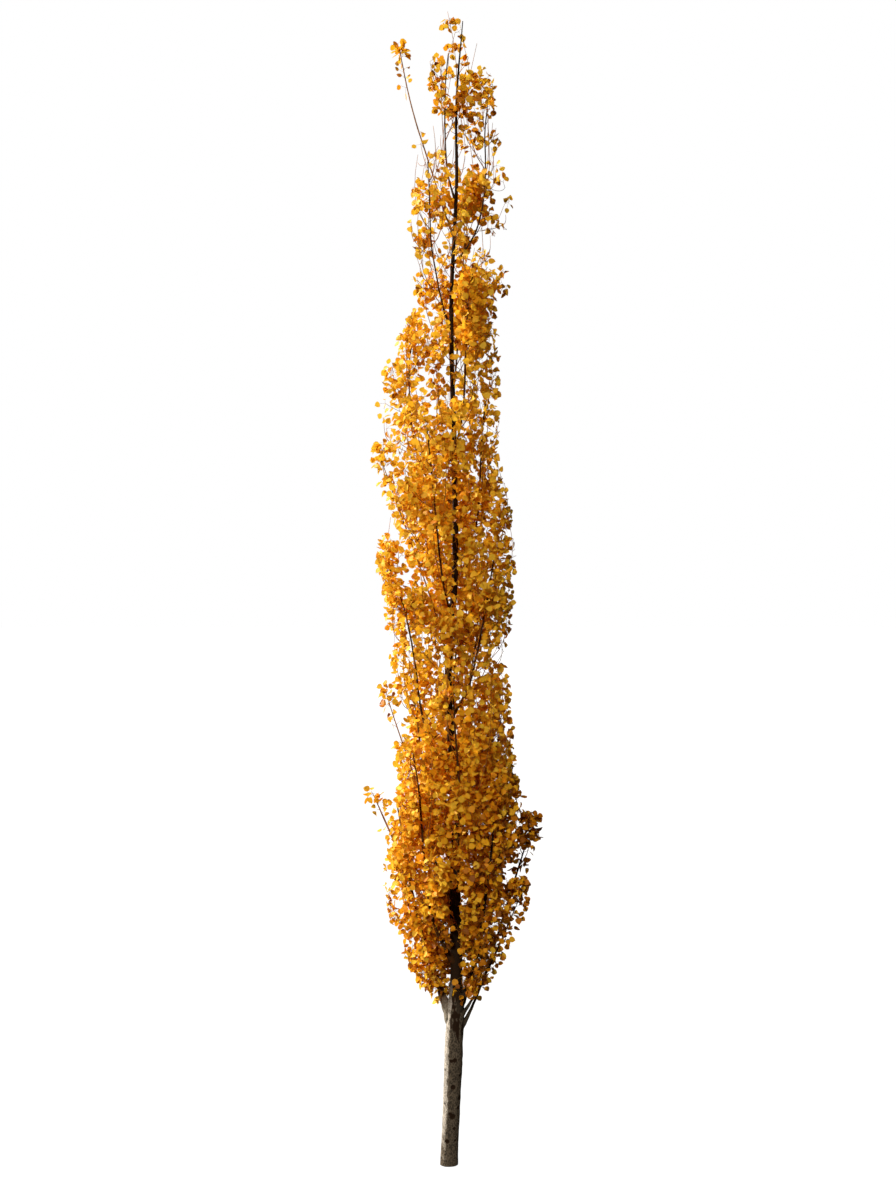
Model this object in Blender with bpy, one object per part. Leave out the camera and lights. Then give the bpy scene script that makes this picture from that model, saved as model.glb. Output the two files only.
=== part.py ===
"""Columnar quaking aspen in gold autumn leaf, a whole tree cut level with the ground.

The trunk runs up through the crown. Boughs leave it in a rising spiral and turn up steeply, and each
carries one upright mass of foliage: a stem, its twigs, and leaves that each stand for a spray. Six long
shoots stand off the crown. Metres, +Z up, origin at the centre of the cut. The front is seen along +Y,
with +X to the right.
"""

import math
import random
from dataclasses import dataclass

import bmesh
import bpy
import numpy as np
from mathutils import Matrix, Vector

SEED = 141
GOLDEN_ANGLE = math.radians(137.508)
GAP = 0.0003

# Trunk, from the cut to the leader's tip
TREE_HEIGHT = 7.5
TRUNK = np.array(
    [  # height, x, y, radius
        (0.00, 0.000, 0.000, 0.0580),
        (0.08, 0.003, 0.000, 0.0560),
        (0.40, 0.018, 0.000, 0.0565),
        (0.85, 0.034, 0.003, 0.0590),
        (1.17, 0.048, 0.006, 0.0430),
        (1.70, 0.040, 0.000, 0.0360),
        (2.47, 0.038, -0.010, 0.0285),
        (3.15, -0.006, 0.004, 0.0245),
        (3.90, 0.040, 0.012, 0.0205),
        (4.60, 0.036, 0.000, 0.0175),
        (5.70, 0.016, -0.008, 0.0140),
        (6.45, 0.050, 0.000, 0.0110),
        (6.95, 0.048, 0.006, 0.0080),
        (TREE_HEIGHT, 0.090, 0.004, 0.0030),
    ]
)
TRUNK_RINGS = 26
TRUNK_SIDES = 12
TRUNK_BELOW = 0.2

# Crown, as how far the leaves reach from the trunk
CROWN = np.array(
    [  # height, reach to the left, reach to the right
        (0.86, 0.13, 0.13),
        (1.08, 0.20, 0.21),
        (1.31, 0.31, 0.37),
        (1.60, 0.41, 0.46),
        (1.90, 0.46, 0.51),
        (2.20, 0.46, 0.51),
        (2.60, 0.43, 0.40),
        (3.25, 0.37, 0.41),
        (3.60, 0.44, 0.40),
        (4.00, 0.52, 0.38),
        (4.75, 0.55, 0.29),
        (5.34, 0.38, 0.32),
        (5.60, 0.24, 0.36),
        (6.05, 0.30, 0.39),
        (6.45, 0.27, 0.33),
        (6.82, 0.21, 0.25),
        (7.20, 0.17, 0.21),
        (7.45, 0.14, 0.06),
    ]
)

# Limbs, closer together at the lowest fork than above. A pair is the value at the lowest and highest fork
LIMB_COUNT = 19
FORK_HEIGHT = (0.86, 6.32)
FORK_CROWDING = 1.4
FIRST_AZIMUTH = math.radians(172)
LIMB_RISE = (1.50, 1.00)
BARE_RISE = (0.20, 0.15)
SPREAD_HEIGHT = (0.19, 0.22)
BODY_SHARE = 0.58
TIP_SHARE = 0.86
LIMB_GIRTH = 0.36
LEAST_GIRTH = 0.0062
LIMB_TIP_RADIUS = 0.0038
LIMB_TAPER = 0.8
JOIN_LENGTH = 0.03
BOUGH_STEPS = 4
STEM_STEPS = 5
BOUGH_SIDES = 6
STEM_SIDES = 4

# Long shoots off the crown: name, fork height, azimuth, tip height, how far out, share that is bare
SHOOT_BEND = 0.85
SHOOTS = (
    ("right_shoot", 0.79, math.radians(6), 2.20, 0.50, 0.80),
    ("inner_shoot", 0.92, math.radians(-26), 1.80, 0.47, 0.45),
    ("low_left_shoot", 1.36, math.radians(187), 2.44, 0.54, 0.84),
    ("left_shoot", 1.72, math.radians(197), 3.10, 0.42, 0.62),
    ("shoulder_shoot", 3.40, math.radians(182), 4.62, 0.48, 0.55),
    ("top_shoot", 6.08, math.radians(176), 7.32, 0.40, 0.55),
)

# Foliage, where a pair gives the value at the ground and at the top
TWIG_SPACING = (0.133, 0.113)
TWIG_LENGTH = 0.26
LEAST_TWIG = 0.05
TWIG_RADIUS = 0.0060
TWIG_GIRTH = 0.62
TWIG_TAPER = 0.75
TWIG_SPREAD = math.radians(48)
OUTWARD_SHARE = 0.85
LEAF_LENGTH = (0.195, 0.14)
LEAF_WIDTH_SHARE = 0.92
LEAF_THICKNESS_SHARE = 0.035
STALK_SHARE = 0.22
WIDEST_SHARE = 0.42
LEAF_SPREAD = math.radians(58)
LEAF_SPACING = 0.05
LEAVES_A_TWIG = 4
LEAF_DROOP = 0.22
LEAF_SWING = 1.0
LEAF_TRIES = 12
LEAF_APART = 0.55
FACE_SCATTER = 0.55
ROOT_DEPTH = 0.003

# The space each mass keeps to
CLEARANCE = 0.015
CELL_MARGIN = 0.012
OVERREACH = 0.02
TEST_SPACING = 0.025
SHOOT_REACH = 0.13
SHOOT_LEAF_SHARE = 0.72
SHOOT_TWIG_SHARE = 0.35

# Dense masses have a slim core that their leaves stand out of
CORE_RADIUS = 0.15
CORE_SHARE = 0.78
CORE_TOP = 5.2
CORE_SIDES = 6


@dataclass
class Limb:
    """A bough and the stem that grows on from it, as points and radii from the trunk's middle to the tip."""

    name: str
    bough: list
    bough_radii: list
    stem: list
    stem_radii: list
    is_shoot: bool


def clear_scene():
    for obj in list(bpy.data.objects):
        bpy.data.objects.remove(obj, do_unlink=True)


def smooth(table, heights):
    """The rows of a table at these heights, on a curve through every row. Column 0 is the height."""
    heights = np.clip(np.atleast_1d(heights), table[0, 0], table[-1, 0])
    knots, values = table[:, 0], table[:, 1:]
    slopes = np.gradient(values, knots, axis=0)
    row = np.clip(np.searchsorted(knots, heights) - 1, 0, len(knots) - 2)
    span = (knots[row + 1] - knots[row])[:, None]
    t = (heights - knots[row])[:, None] / span
    before = (1 + 2 * t) * values[row] + t * span * slopes[row]
    after = (3 - 2 * t) * values[row + 1] - (1 - t) * span * slopes[row + 1]
    return (1 - t) ** 2 * before + t**2 * after


def trunk_at(height):
    """The middle of the trunk at a height."""
    x, y, _ = smooth(TRUNK, height)[0]
    return Vector((x, y, height))


def trunk_radius(height):
    return float(smooth(TRUNK, height)[0, 2])


def reach(heights, azimuths):
    """How far the crown reaches from the trunk: at the front and back, halfway between left and right."""
    left, right = smooth(CROWN, heights).T
    return (right + left) / 2 + (right - left) / 2 * np.cos(azimuths)


def blend(low, high, share):
    return low + (high - low) * share


def limb_steps(bare):
    """Shares of a limb's rise where its points lie: even steps along the bare bough, then along the stem."""
    bough = np.linspace(0, bare, BOUGH_STEPS + 1)
    return np.append(bough, np.linspace(bare, 1, STEM_STEPS + 1)[1:])


def limb_from(name, heights, outs, azimuth, is_shoot):
    """A limb through points at these heights, each this far out from the trunk."""
    way = Vector((math.cos(azimuth), math.sin(azimuth), 0))
    route = [trunk_at(h) + way * o for h, o in zip(heights, outs)]
    root = max(LEAST_GIRTH, LIMB_GIRTH * trunk_radius(heights[0]))
    left = np.linspace(1, 0, len(route))
    radii = list(blend(LIMB_TIP_RADIUS, root, left**LIMB_TAPER))
    last = BOUGH_STEPS
    join = (route[last] - route[last - 1]).normalized()
    stem = [route[last] + join * GAP, route[last] + join * JOIN_LENGTH, *route[last + 1 :]]
    stem_radii = [radii[last], radii[last], *radii[last + 1 :]]
    return Limb(name, route[: last + 1], radii[: last + 1], stem, stem_radii, is_shoot)


def crown_limb(i):
    """One of the limbs that fill the crown: it spreads from the trunk soon, then climbs beside it."""
    share = i / (LIMB_COUNT - 1)
    azimuth = FIRST_AZIMUTH + i * GOLDEN_ANGLE
    rise = blend(*LIMB_RISE, share)
    along = limb_steps(blend(*BARE_RISE, share) / rise)
    heights = blend(*FORK_HEIGHT, share**FORK_CROWDING) + rise * along
    spread = 1 - np.exp(-rise * along / blend(*SPREAD_HEIGHT, share))
    out_share = BODY_SHARE * spread + (TIP_SHARE - BODY_SHARE) * along**3
    outs = out_share * reach(heights, azimuth)
    return limb_from(f"{i + 1:02d}", heights, outs, azimuth, False)


def shoot(name, fork, azimuth, tip, out, bare):
    """A long shoot, which leans away from the trunk all the way to its tip."""
    along = limb_steps(bare)
    return limb_from(name, blend(fork, tip, along), out * along**SHOOT_BEND, azimuth, True)


def planned_limbs():
    """Every limb of the tree, from the lowest fork up, and then the shoots."""
    return [crown_limb(i) for i in range(LIMB_COUNT)] + [shoot(*row) for row in SHOOTS]


class Space:
    """The space of each mass: nearer to its own stem than to another, inside the crown, clear of limbs."""

    def __init__(self, limbs):
        self.is_shoot = [limb.is_shoot for limb in limbs]
        heights = np.linspace(0, TREE_HEIGHT, 2 * TRUNK_RINGS)
        trunk = [trunk_at(h) for h in heights]
        rows = self.segments(trunk, [trunk_radius(h) for h in heights], -1, False)
        for owner, limb in enumerate(limbs):
            rows += self.segments(limb.bough, limb.bough_radii, owner, False)
            rows += self.segments(limb.stem, limb.stem_radii, owner, True)
        starts, ends, first, last, owners, stems = zip(*rows)
        self.start = np.array(starts)
        self.run = np.array(ends) - self.start
        self.first, self.last = np.array(first), np.array(last)
        self.owner, self.is_stem = np.array(owners), np.array(stems)

    @staticmethod
    def segments(points, radii, owner, is_stem):
        pairs = zip(points, points[1:], radii, radii[1:])
        return [(tuple(a), tuple(b), ra, rb, owner, is_stem) for a, b, ra, rb in pairs]

    def clearances(self, points):
        """The distance from each point to the skin of each stretch of limb."""
        away = points[:, None, :] - self.start
        along = (away * self.run).sum(2) / (self.run**2).sum(1)
        along = along.clip(0, 1)
        distance = np.linalg.norm(away - along[..., None] * self.run, axis=2)
        return distance - self.first - along * (self.last - self.first)

    def inside_crown(self, points):
        axis = smooth(TRUNK, points[:, 2])[:, :2]
        x, y = (points[:, :2] - axis).T
        within = np.hypot(x, y) <= reach(points[:, 2], np.arctan2(y, x)) + OVERREACH
        return within & (points[:, 2] > CROWN[0, 0]) & (points[:, 2] < TREE_HEIGHT)

    def fits(self, points, owner):
        """Whether all of these points are in the owner's space."""
        points = np.array(points, float)
        clear = self.clearances(points)
        own = clear[:, self.is_stem & (self.owner == owner)].min(1)
        other = clear[:, self.is_stem & (self.owner != owner)].min(1)
        limbs = clear[:, ~self.is_stem].min(1)
        if self.is_shoot[owner]:
            inside = own < SHOOT_REACH
        else:
            inside = self.inside_crown(points)
        return bool((inside & (own + CELL_MARGIN < other) & (limbs > CLEARANCE)).all())

    def room(self, point, owner):
        """How far a round core can spread from a point on the owner's stem."""
        point = np.array([point], float)
        clear = self.clearances(point)[0]
        other = clear[self.is_stem & (self.owner != owner)].min() / 2
        limbs = clear[~self.is_stem].min() - CLEARANCE
        x, y = (point[0, :2] - smooth(TRUNK, point[:, 2])[0, :2]).T
        edge = reach(point[:, 2], np.array([math.atan2(y, x)]))[0] - math.hypot(x, y)
        return min(other, limbs, edge)


def material(name, colour, roughness):
    made = bpy.data.materials.new(name)
    made.use_nodes = True
    shader = made.node_tree.nodes["Principled BSDF"]
    shader.inputs["Base Color"].default_value = (*colour, 1)
    shader.inputs["Roughness"].default_value = roughness
    shader.inputs["Metallic"].default_value = 0
    made.diffuse_color = (*colour, 1)
    return made


def object_from(name, mesh, collection):
    obj = bpy.data.objects.new(name, mesh)
    collection.objects.link(obj)
    return obj


def evaluated_mesh(obj):
    bpy.context.view_layer.update()
    graph = bpy.context.evaluated_depsgraph_get()
    return bpy.data.meshes.new_from_object(obj.evaluated_get(graph))


def tube(name, points, radii, sides, collection):
    """A closed tapering tube along these points, as a mesh object."""
    curve = bpy.data.curves.new(name, "CURVE")
    curve.dimensions = "3D"
    curve.bevel_depth = 1
    curve.bevel_resolution = (sides - 4) // 2
    curve.use_fill_caps = True
    spline = curve.splines.new("POLY")
    spline.points.add(len(points) - 1)
    for knot, point, radius in zip(spline.points, points, radii):
        knot.co = (*point, 1)
        knot.radius = radius
    guide = object_from(name + "_curve", curve, collection)
    mesh = evaluated_mesh(guide)
    bpy.data.objects.remove(guide)
    shape = bmesh.new()
    shape.from_mesh(mesh)
    bmesh.ops.remove_doubles(shape, verts=shape.verts, dist=1e-5)
    bmesh.ops.recalc_face_normals(shape, faces=shape.faces)
    shape.to_mesh(mesh)
    shape.free()
    mesh.name = name
    return object_from(name, mesh, collection)


def keep_main_body(mesh):
    """Drops loose scraps and sealed hollows, which are every closed surface but the largest."""
    shape = bmesh.new()
    shape.from_mesh(mesh)
    left, bodies = set(shape.faces), []
    while left:
        body, edge = set(), [left.pop()]
        while edge:
            face = edge.pop()
            body.add(face)
            joins = [e for e in face.edges if len(e.link_faces) == 2]
            near = {f for e in joins for f in e.link_faces} & left
            left -= near
            edge += near
        bodies.append(body)
    main = max(bodies, key=len)
    extra = [f for f in shape.faces if f not in main]
    bmesh.ops.delete(shape, geom=extra, context="FACES")
    shape.to_mesh(mesh)
    shape.free()


def apply_boolean(obj, operation, other):
    """Joins or cuts obj by another object, or by all of a collection."""
    change = obj.modifiers.new(operation.lower(), "BOOLEAN")
    change.operation = operation
    change.solver = "EXACT"
    if isinstance(other, bpy.types.Collection):
        change.operand_type = "COLLECTION"
        change.collection = other
    else:
        change.object = other
    mesh = evaluated_mesh(obj)
    obj.modifiers.clear()
    obj.data = mesh
    keep_main_body(mesh)


def trunk_tube(name, extra, collection):
    """The trunk, from a little under the ground, or with extra a copy that much fatter."""
    heights = np.linspace(0, TREE_HEIGHT, TRUNK_RINGS)
    points = [trunk_at(0) - Vector((0, 0, TRUNK_BELOW))] + [trunk_at(h) for h in heights]
    radii = [trunk_radius(0)] + [trunk_radius(h) for h in heights]
    return tube(name, points, [r + extra for r in radii], TRUNK_SIDES, collection)


def build_trunk(collection, bark):
    """The trunk, cut flat at the ground."""
    trunk = trunk_tube("trunk", 0, collection)
    shape = bmesh.new()
    shape.from_mesh(trunk.data)
    geometry = shape.verts[:] + shape.edges[:] + shape.faces[:]
    cut = bmesh.ops.bisect_plane(shape, geom=geometry, plane_no=(0, 0, 1), clear_inner=True)
    rim = [e for e in cut["geom_cut"] if isinstance(e, bmesh.types.BMEdge)]
    bmesh.ops.edgeloop_fill(shape, edges=rim)
    bmesh.ops.recalc_face_normals(shape, faces=shape.faces)
    shape.to_mesh(trunk.data)
    shape.free()
    finish(trunk, bark)


def finish(obj, look):
    obj.data.materials.clear()
    obj.data.materials.append(look)
    obj.data.shade_smooth()
    obj.data.set_sharp_from_angle(angle=math.radians(40))


def build_bough(limb, trunk_cutter, collection, bark):
    """One tapering limb, whose foot follows the trunk's skin."""
    bough = tube("bough_" + limb.name, limb.bough, limb.bough_radii, BOUGH_SIDES, collection)
    apply_boolean(bough, "DIFFERENCE", trunk_cutter)
    finish(bough, bark)


def unit_leaf():
    """A leaf whose blade is 1 long, along +X from its stalk's root at the origin, thickest at its widest."""
    shape = bmesh.new()
    bmesh.ops.create_uvsphere(shape, u_segments=6, v_segments=2, radius=0.5)
    widest = max(vert.co.x for vert in shape.verts)
    for vert in shape.verts:
        across, along, up = vert.co
        if along < -0.49:
            vert.co = (0, 0, 0)
        elif abs(up) > 0.49:
            vert.co = (STALK_SHARE + WIDEST_SHARE, 0, up * LEAF_THICKNESS_SHARE)
        else:
            half_width = -across / widest * LEAF_WIDTH_SHARE / 2
            vert.co = (STALK_SHARE + along + 0.5, half_width, 0)
    bmesh.ops.recalc_face_normals(shape, faces=shape.faces)
    mesh = bpy.data.meshes.new("unit_leaf")
    shape.to_mesh(mesh)
    shape.free()
    return mesh


def blade_points():
    """Points spread over the unit leaf's blade, to test where a leaf would lie."""
    points = []
    for turn in np.linspace(-math.pi, math.pi, 12, endpoint=False)[1:]:
        for share in (0.33, 0.66, 1):
            across = LEAF_WIDTH_SHARE * share * math.sin(turn)
            along = 1 + share * math.cos(turn)
            points.append(Vector((STALK_SHARE + along / 2, across / 2, 0)))
    return points


BLADE_POINTS = blade_points()


def leaf_place(root, way, face, length):
    """The matrix that puts the unit leaf at root, pointing this way, with its face turned towards face."""
    side = face.cross(way).normalized()
    up = way.cross(side).normalized()
    turn = Matrix((way, side, up)).transposed().to_4x4()
    return Matrix.Translation(root) @ turn @ Matrix.Scale(length, 4)


def turned_off(way, around, spread, side=None):
    """A direction this far off another, turned by an angle around it from its side."""
    side = side or way.orthogonal()
    side = (side - way * side.dot(way)).normalized()
    side.rotate(Matrix.Rotation(around, 3, way))
    return way * math.cos(spread) + side * math.sin(spread)


class Growth:
    """Plans the twigs and leaves of one limb's stem, inside its own space."""

    def __init__(self, limb, owner, space):
        self.limb, self.owner, self.space = limb, owner, space
        self.chance = random.Random(SEED + owner)
        self.leaf_length = blend(*LEAF_LENGTH, limb.stem[-1].z / TREE_HEIGHT)
        if limb.is_shoot:
            self.leaf_length *= SHOOT_LEAF_SHARE
        self.core_radii = self.planned_core()
        self.twigs, self.leaves, self.middles = [], [], []
        self.grow()

    def planned_core(self):
        """The core's radius at each point of the stem, or nothing for an open mass."""
        limb = self.limb
        if limb.is_shoot or limb.stem[0].z > CORE_TOP:
            return []
        profile = np.sin(math.pi * np.linspace(0.06, 0.94, len(limb.stem))) ** 0.6
        rooms = [self.space.room(p, self.owner) * CORE_SHARE for p in limb.stem]
        radii = np.minimum(CORE_RADIUS, rooms) * profile
        return list(np.maximum(radii, [r * 1.3 for r in limb.stem_radii]))

    def core_radius(self, height):
        heights = [p.z for p in self.limb.stem]
        return np.interp(height, heights, self.core_radii) if self.core_radii else 0

    def stem_point(self, share):
        """A point along the stem, with the stem's direction and radius there."""
        limb = self.limb
        steps = [b - a for a, b in zip(limb.stem, limb.stem[1:])]
        left = share * sum(step.length for step in steps)
        i = 0
        while left > steps[i].length and i < len(steps) - 1:
            left -= steps[i].length
            i += 1
        part = min(1, left / steps[i].length)
        radius = blend(limb.stem_radii[i], limb.stem_radii[i + 1], part)
        return limb.stem[i] + steps[i] * part, steps[i].normalized(), radius

    def try_leaf(self, root, way):
        """Adds a leaf if one of a few turns of its blade fits, and says whether it did."""
        out = (root - trunk_at(root.z)).normalized()
        for k in range(LEAF_TRIES):
            length = self.leaf_length * blend(1.05, 0.75, k / LEAF_TRIES)
            ahead = (way + Vector((0, 0, -LEAF_DROOP))).normalized()
            around = self.chance.uniform(0, math.tau)
            ahead = turned_off(ahead, around, LEAF_SWING * k / LEAF_TRIES)
            scatter = [self.chance.gauss(0, FACE_SCATTER) for _ in range(3)]
            place = leaf_place(root, ahead, out + Vector(scatter), length)
            middle = place @ Vector((STALK_SHARE + 0.5, 0, 0))
            nearest = min([(middle - other).length for other in self.middles], default=1)
            if nearest < LEAF_APART * length:
                continue
            if self.space.fits([place @ p for p in BLADE_POINTS], self.owner):
                self.middles.append(middle)
                self.leaves.append(place)
                return True
        return False

    def try_twig(self, root, way, length, girth):
        """Adds a twig with a fan of leaves at its end, cut short until it and its end leaf fit."""
        while True:
            tested = [root + way * r for r in np.arange(JOIN_LENGTH, length, TEST_SPACING)]
            end = root + way * (length - ROOT_DEPTH)
            if self.space.fits(tested, self.owner) and self.try_leaf(end, way):
                break
            length *= 0.82
            if length < LEAST_TWIG:
                return
        self.twigs.append((root, way, length, min(TWIG_RADIUS, TWIG_GIRTH * girth)))
        around = self.chance.uniform(0, math.tau)
        for k in range(1, LEAVES_A_TWIG):
            around += math.pi + self.chance.uniform(-0.5, 0.5)
            along = length - k * LEAF_SPACING
            if along > 0.8 * self.core_radius(root.z + way.z * along):
                self.try_leaf(root + way * along, turned_off(way, around, LEAF_SPREAD))

    def grow(self):
        """Twigs leave the stem in a spiral that favours the side away from the trunk."""
        stem = self.limb.stem
        length = sum((b - a).length for a, b in zip(stem, stem[1:]))
        count = max(3, round(length / blend(*TWIG_SPACING, stem[0].z / TREE_HEIGHT)))
        around = self.chance.uniform(0, math.tau)
        for k in range(count):
            share = (k + 0.6) / count
            root, way, girth = self.stem_point(share)
            around += GOLDEN_ANGLE
            turn = ((around + math.pi) % math.tau - math.pi) * OUTWARD_SHARE
            spread = TWIG_SPREAD * self.chance.uniform(0.8, 1.2)
            far = TWIG_LENGTH * blend(1.1, 0.8, share)
            if self.limb.is_shoot:
                far *= SHOOT_TWIG_SHARE
            out = root - trunk_at(root.z)
            self.try_twig(root, turned_off(way, turn, spread, out), far, girth)
        tip, way, _ = self.stem_point(1)
        self.try_leaf(tip - way * ROOT_DEPTH, way)


def add_twig(root, way, length, thickness, pieces):
    """A three-sided tapering twig."""
    turn = way.to_track_quat("Z", "X").to_matrix().to_4x4()
    shape = bmesh.new()
    bmesh.ops.create_cone(
        shape,
        cap_ends=True,
        segments=3,
        radius1=thickness,
        radius2=thickness * TWIG_TAPER,
        depth=length,
        matrix=Matrix.Translation(root + way * length / 2) @ turn,
    )
    mesh = bpy.data.meshes.new("twig")
    shape.to_mesh(mesh)
    shape.free()
    object_from("twig", mesh, pieces)


def add_leaf(place, leaf, pieces):
    mesh = leaf.copy()
    mesh.transform(place)
    object_from("leaf", mesh, pieces)


def build_mass(limb, growth, leaf, collection, pieces, look):
    """One mass of foliage: the stem, its core, twigs and leaves, joined into one body."""
    mass = tube("foliage_" + limb.name, limb.stem, limb.stem_radii, STEM_SIDES, collection)
    if growth.core_radii:
        tube("core", limb.stem[1:], growth.core_radii[1:], CORE_SIDES, pieces)
    for row in growth.twigs:
        add_twig(*row, pieces)
    for place in growth.leaves:
        add_leaf(place, leaf, pieces)
    apply_boolean(mass, "UNION", pieces)
    for piece in list(pieces.objects):
        bpy.data.objects.remove(piece, do_unlink=True)
    finish(mass, look)


def main():
    clear_scene()
    scene = bpy.context.scene
    aspen = bpy.data.collections.new("quaking_aspen")
    pieces = bpy.data.collections.new("pieces")
    cutters = bpy.data.collections.new("cutters")
    for collection in (aspen, pieces, cutters):
        scene.collection.children.link(collection)

    pale_bark = material("pale_bark", (0.42, 0.37, 0.30), 0.85)
    bough_bark = material("bough_bark", (0.10, 0.07, 0.045), 0.8)
    golds = [
        material("gold_leaf", (0.83, 0.42, 0.03), 0.55),
        material("amber_leaf", (0.72, 0.31, 0.02), 0.55),
        material("bronze_leaf", (0.52, 0.20, 0.02), 0.6),
    ]

    build_trunk(aspen, pale_bark)
    cutter = trunk_tube("trunk_cutter", GAP / math.cos(math.pi / TRUNK_SIDES), cutters)
    cutter.hide_render = True
    cutter.display_type = "WIRE"
    limbs = planned_limbs()
    space = Space(limbs)
    leaf = unit_leaf()
    for owner, limb in enumerate(limbs):
        build_bough(limb, cutter, aspen, bough_bark)
        growth = Growth(limb, owner, space)
        build_mass(limb, growth, leaf, aspen, pieces, golds[owner % len(golds)])


main()
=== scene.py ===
"""Looks of the columnar quaking aspen: bark with its relief, fine twigs, and single leaves in autumn gold.

The limbs, the space of each mass and its growth follow the rule of the part's source, written again here.
The growth is then carried on: each coarse leaf stands for a sprig, and sprigs, twigs and stems carry spurs
with the real leaves. Metres, +Z up. The camera stands in front, on -Y.
"""

import math
import random
from dataclasses import dataclass
from typing import NamedTuple

import bpy
import numpy as np
from mathutils import Matrix, Vector


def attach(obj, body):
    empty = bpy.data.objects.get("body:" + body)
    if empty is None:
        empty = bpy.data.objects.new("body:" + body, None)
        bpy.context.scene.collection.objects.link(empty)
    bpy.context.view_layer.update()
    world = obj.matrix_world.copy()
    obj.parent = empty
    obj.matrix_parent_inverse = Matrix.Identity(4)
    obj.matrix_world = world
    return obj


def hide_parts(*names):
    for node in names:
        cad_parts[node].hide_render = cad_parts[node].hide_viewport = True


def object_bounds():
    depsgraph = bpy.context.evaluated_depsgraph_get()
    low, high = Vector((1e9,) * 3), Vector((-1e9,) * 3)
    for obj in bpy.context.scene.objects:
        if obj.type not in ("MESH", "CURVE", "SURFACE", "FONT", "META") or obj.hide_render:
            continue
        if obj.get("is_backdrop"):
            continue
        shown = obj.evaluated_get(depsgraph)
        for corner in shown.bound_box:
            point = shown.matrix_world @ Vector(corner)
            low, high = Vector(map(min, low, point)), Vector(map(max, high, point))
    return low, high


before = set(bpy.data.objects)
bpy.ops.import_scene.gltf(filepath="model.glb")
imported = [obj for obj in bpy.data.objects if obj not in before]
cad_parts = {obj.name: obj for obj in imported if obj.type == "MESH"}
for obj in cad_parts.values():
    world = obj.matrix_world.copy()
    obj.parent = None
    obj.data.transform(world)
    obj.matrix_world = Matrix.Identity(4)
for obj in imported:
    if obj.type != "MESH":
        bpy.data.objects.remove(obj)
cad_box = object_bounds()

SEED = 141
GOLDEN_ANGLE = math.radians(137.508)
GAP = 0.0003
UP = np.array((0.0, 0.0, 1.0))

# Trunk and crown, as in the part
TREE_HEIGHT = 7.5
TRUNK = np.array(
    [  # height, x, y, radius
        (0.00, 0.000, 0.000, 0.0580), (0.08, 0.003, 0.000, 0.0560),
        (0.40, 0.018, 0.000, 0.0565), (0.85, 0.034, 0.003, 0.0590),
        (1.17, 0.048, 0.006, 0.0430), (1.70, 0.040, 0.000, 0.0360),
        (2.47, 0.038, -0.010, 0.0285), (3.15, -0.006, 0.004, 0.0245),
        (3.90, 0.040, 0.012, 0.0205), (4.60, 0.036, 0.000, 0.0175),
        (5.70, 0.016, -0.008, 0.0140), (6.45, 0.050, 0.000, 0.0110),
        (6.95, 0.048, 0.006, 0.0080), (TREE_HEIGHT, 0.090, 0.004, 0.0030),
    ]
)
TRUNK_RINGS = 26
CROWN = np.array(
    [  # height, reach to the left, reach to the right
        (0.86, 0.13, 0.13), (1.08, 0.20, 0.21), (1.31, 0.31, 0.37), (1.60, 0.41, 0.46),
        (1.90, 0.46, 0.51), (2.20, 0.46, 0.51), (2.60, 0.43, 0.40), (3.25, 0.37, 0.41),
        (3.60, 0.44, 0.40), (4.00, 0.52, 0.38), (4.75, 0.55, 0.29), (5.34, 0.38, 0.32),
        (5.60, 0.24, 0.36), (6.05, 0.30, 0.39), (6.45, 0.27, 0.33), (6.82, 0.21, 0.25),
        (7.20, 0.17, 0.21), (7.45, 0.14, 0.06),
    ]
)
LIMB_COUNT = 19
FORK_HEIGHT = (0.86, 6.32)
FORK_CROWDING = 1.4
FIRST_AZIMUTH = math.radians(172)
LIMB_RISE = (1.50, 1.00)
BARE_RISE = (0.20, 0.15)
SPREAD_HEIGHT = (0.19, 0.22)
BODY_SHARE = 0.58
TIP_SHARE = 0.86
LIMB_GIRTH = 0.36
LEAST_GIRTH = 0.0062
LIMB_TIP_RADIUS = 0.0038
LIMB_TAPER = 0.8
JOIN_LENGTH = 0.03
BOUGH_STEPS = 4
STEM_STEPS = 5
SHOOT_BEND = 0.85
SHOOTS = (
    # name, fork height, azimuth, tip height, how far out, share that is bare
    ("right_shoot", 0.79, math.radians(6), 2.20, 0.50, 0.80),
    ("inner_shoot", 0.92, math.radians(-26), 1.80, 0.47, 0.45),
    ("low_left_shoot", 1.36, math.radians(187), 2.44, 0.54, 0.84),
    ("left_shoot", 1.72, math.radians(197), 3.10, 0.42, 0.62),
    ("shoulder_shoot", 3.40, math.radians(182), 4.62, 0.48, 0.55),
    ("top_shoot", 6.08, math.radians(176), 7.32, 0.40, 0.55),
)

# Coarse growth, as in the part
TWIG_SPACING = (0.133, 0.113)
TWIG_LENGTH = 0.26
TWIG_SHORTENING = (1.1, 0.8)
TWIG_CUT = 0.82
LEAST_TWIG = 0.05
LEAST_TWIGS = 3
FIRST_TWIG = 0.6
TWIG_RADIUS = 0.0060
TWIG_GIRTH = 0.62
TWIG_SPREAD = math.radians(48)
TWIG_SPREADING = (0.8, 1.2)
OUTWARD_SHARE = 0.85
LEAF_LENGTH = (0.195, 0.14)
LEAF_SHRINKING = (1.05, 0.75)
LEAF_WIDTH_SHARE = 0.92
STALK_SHARE = 0.22
LEAF_SPREAD = math.radians(58)
LEAF_TURNING = (-0.5, 0.5)
LEAF_SPACING = 0.05
LEAVES_A_TWIG = 4
LEAF_DROOP = 0.22
LEAF_SWING = 1.0
LEAF_TRIES = 12
LEAF_APART = 0.55
FACE_SCATTER = 0.55
ROOT_DEPTH = 0.003
CLEARANCE = 0.015
CELL_MARGIN = 0.012
OVERREACH = 0.02
TEST_SPACING = 0.025
SHOOT_REACH = 0.13
SHOOT_LEAF_SHARE = 0.72
SHOOT_TWIG_SHARE = 0.35
CORE_RADIUS = 0.15
CORE_SHARE = 0.78
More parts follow.
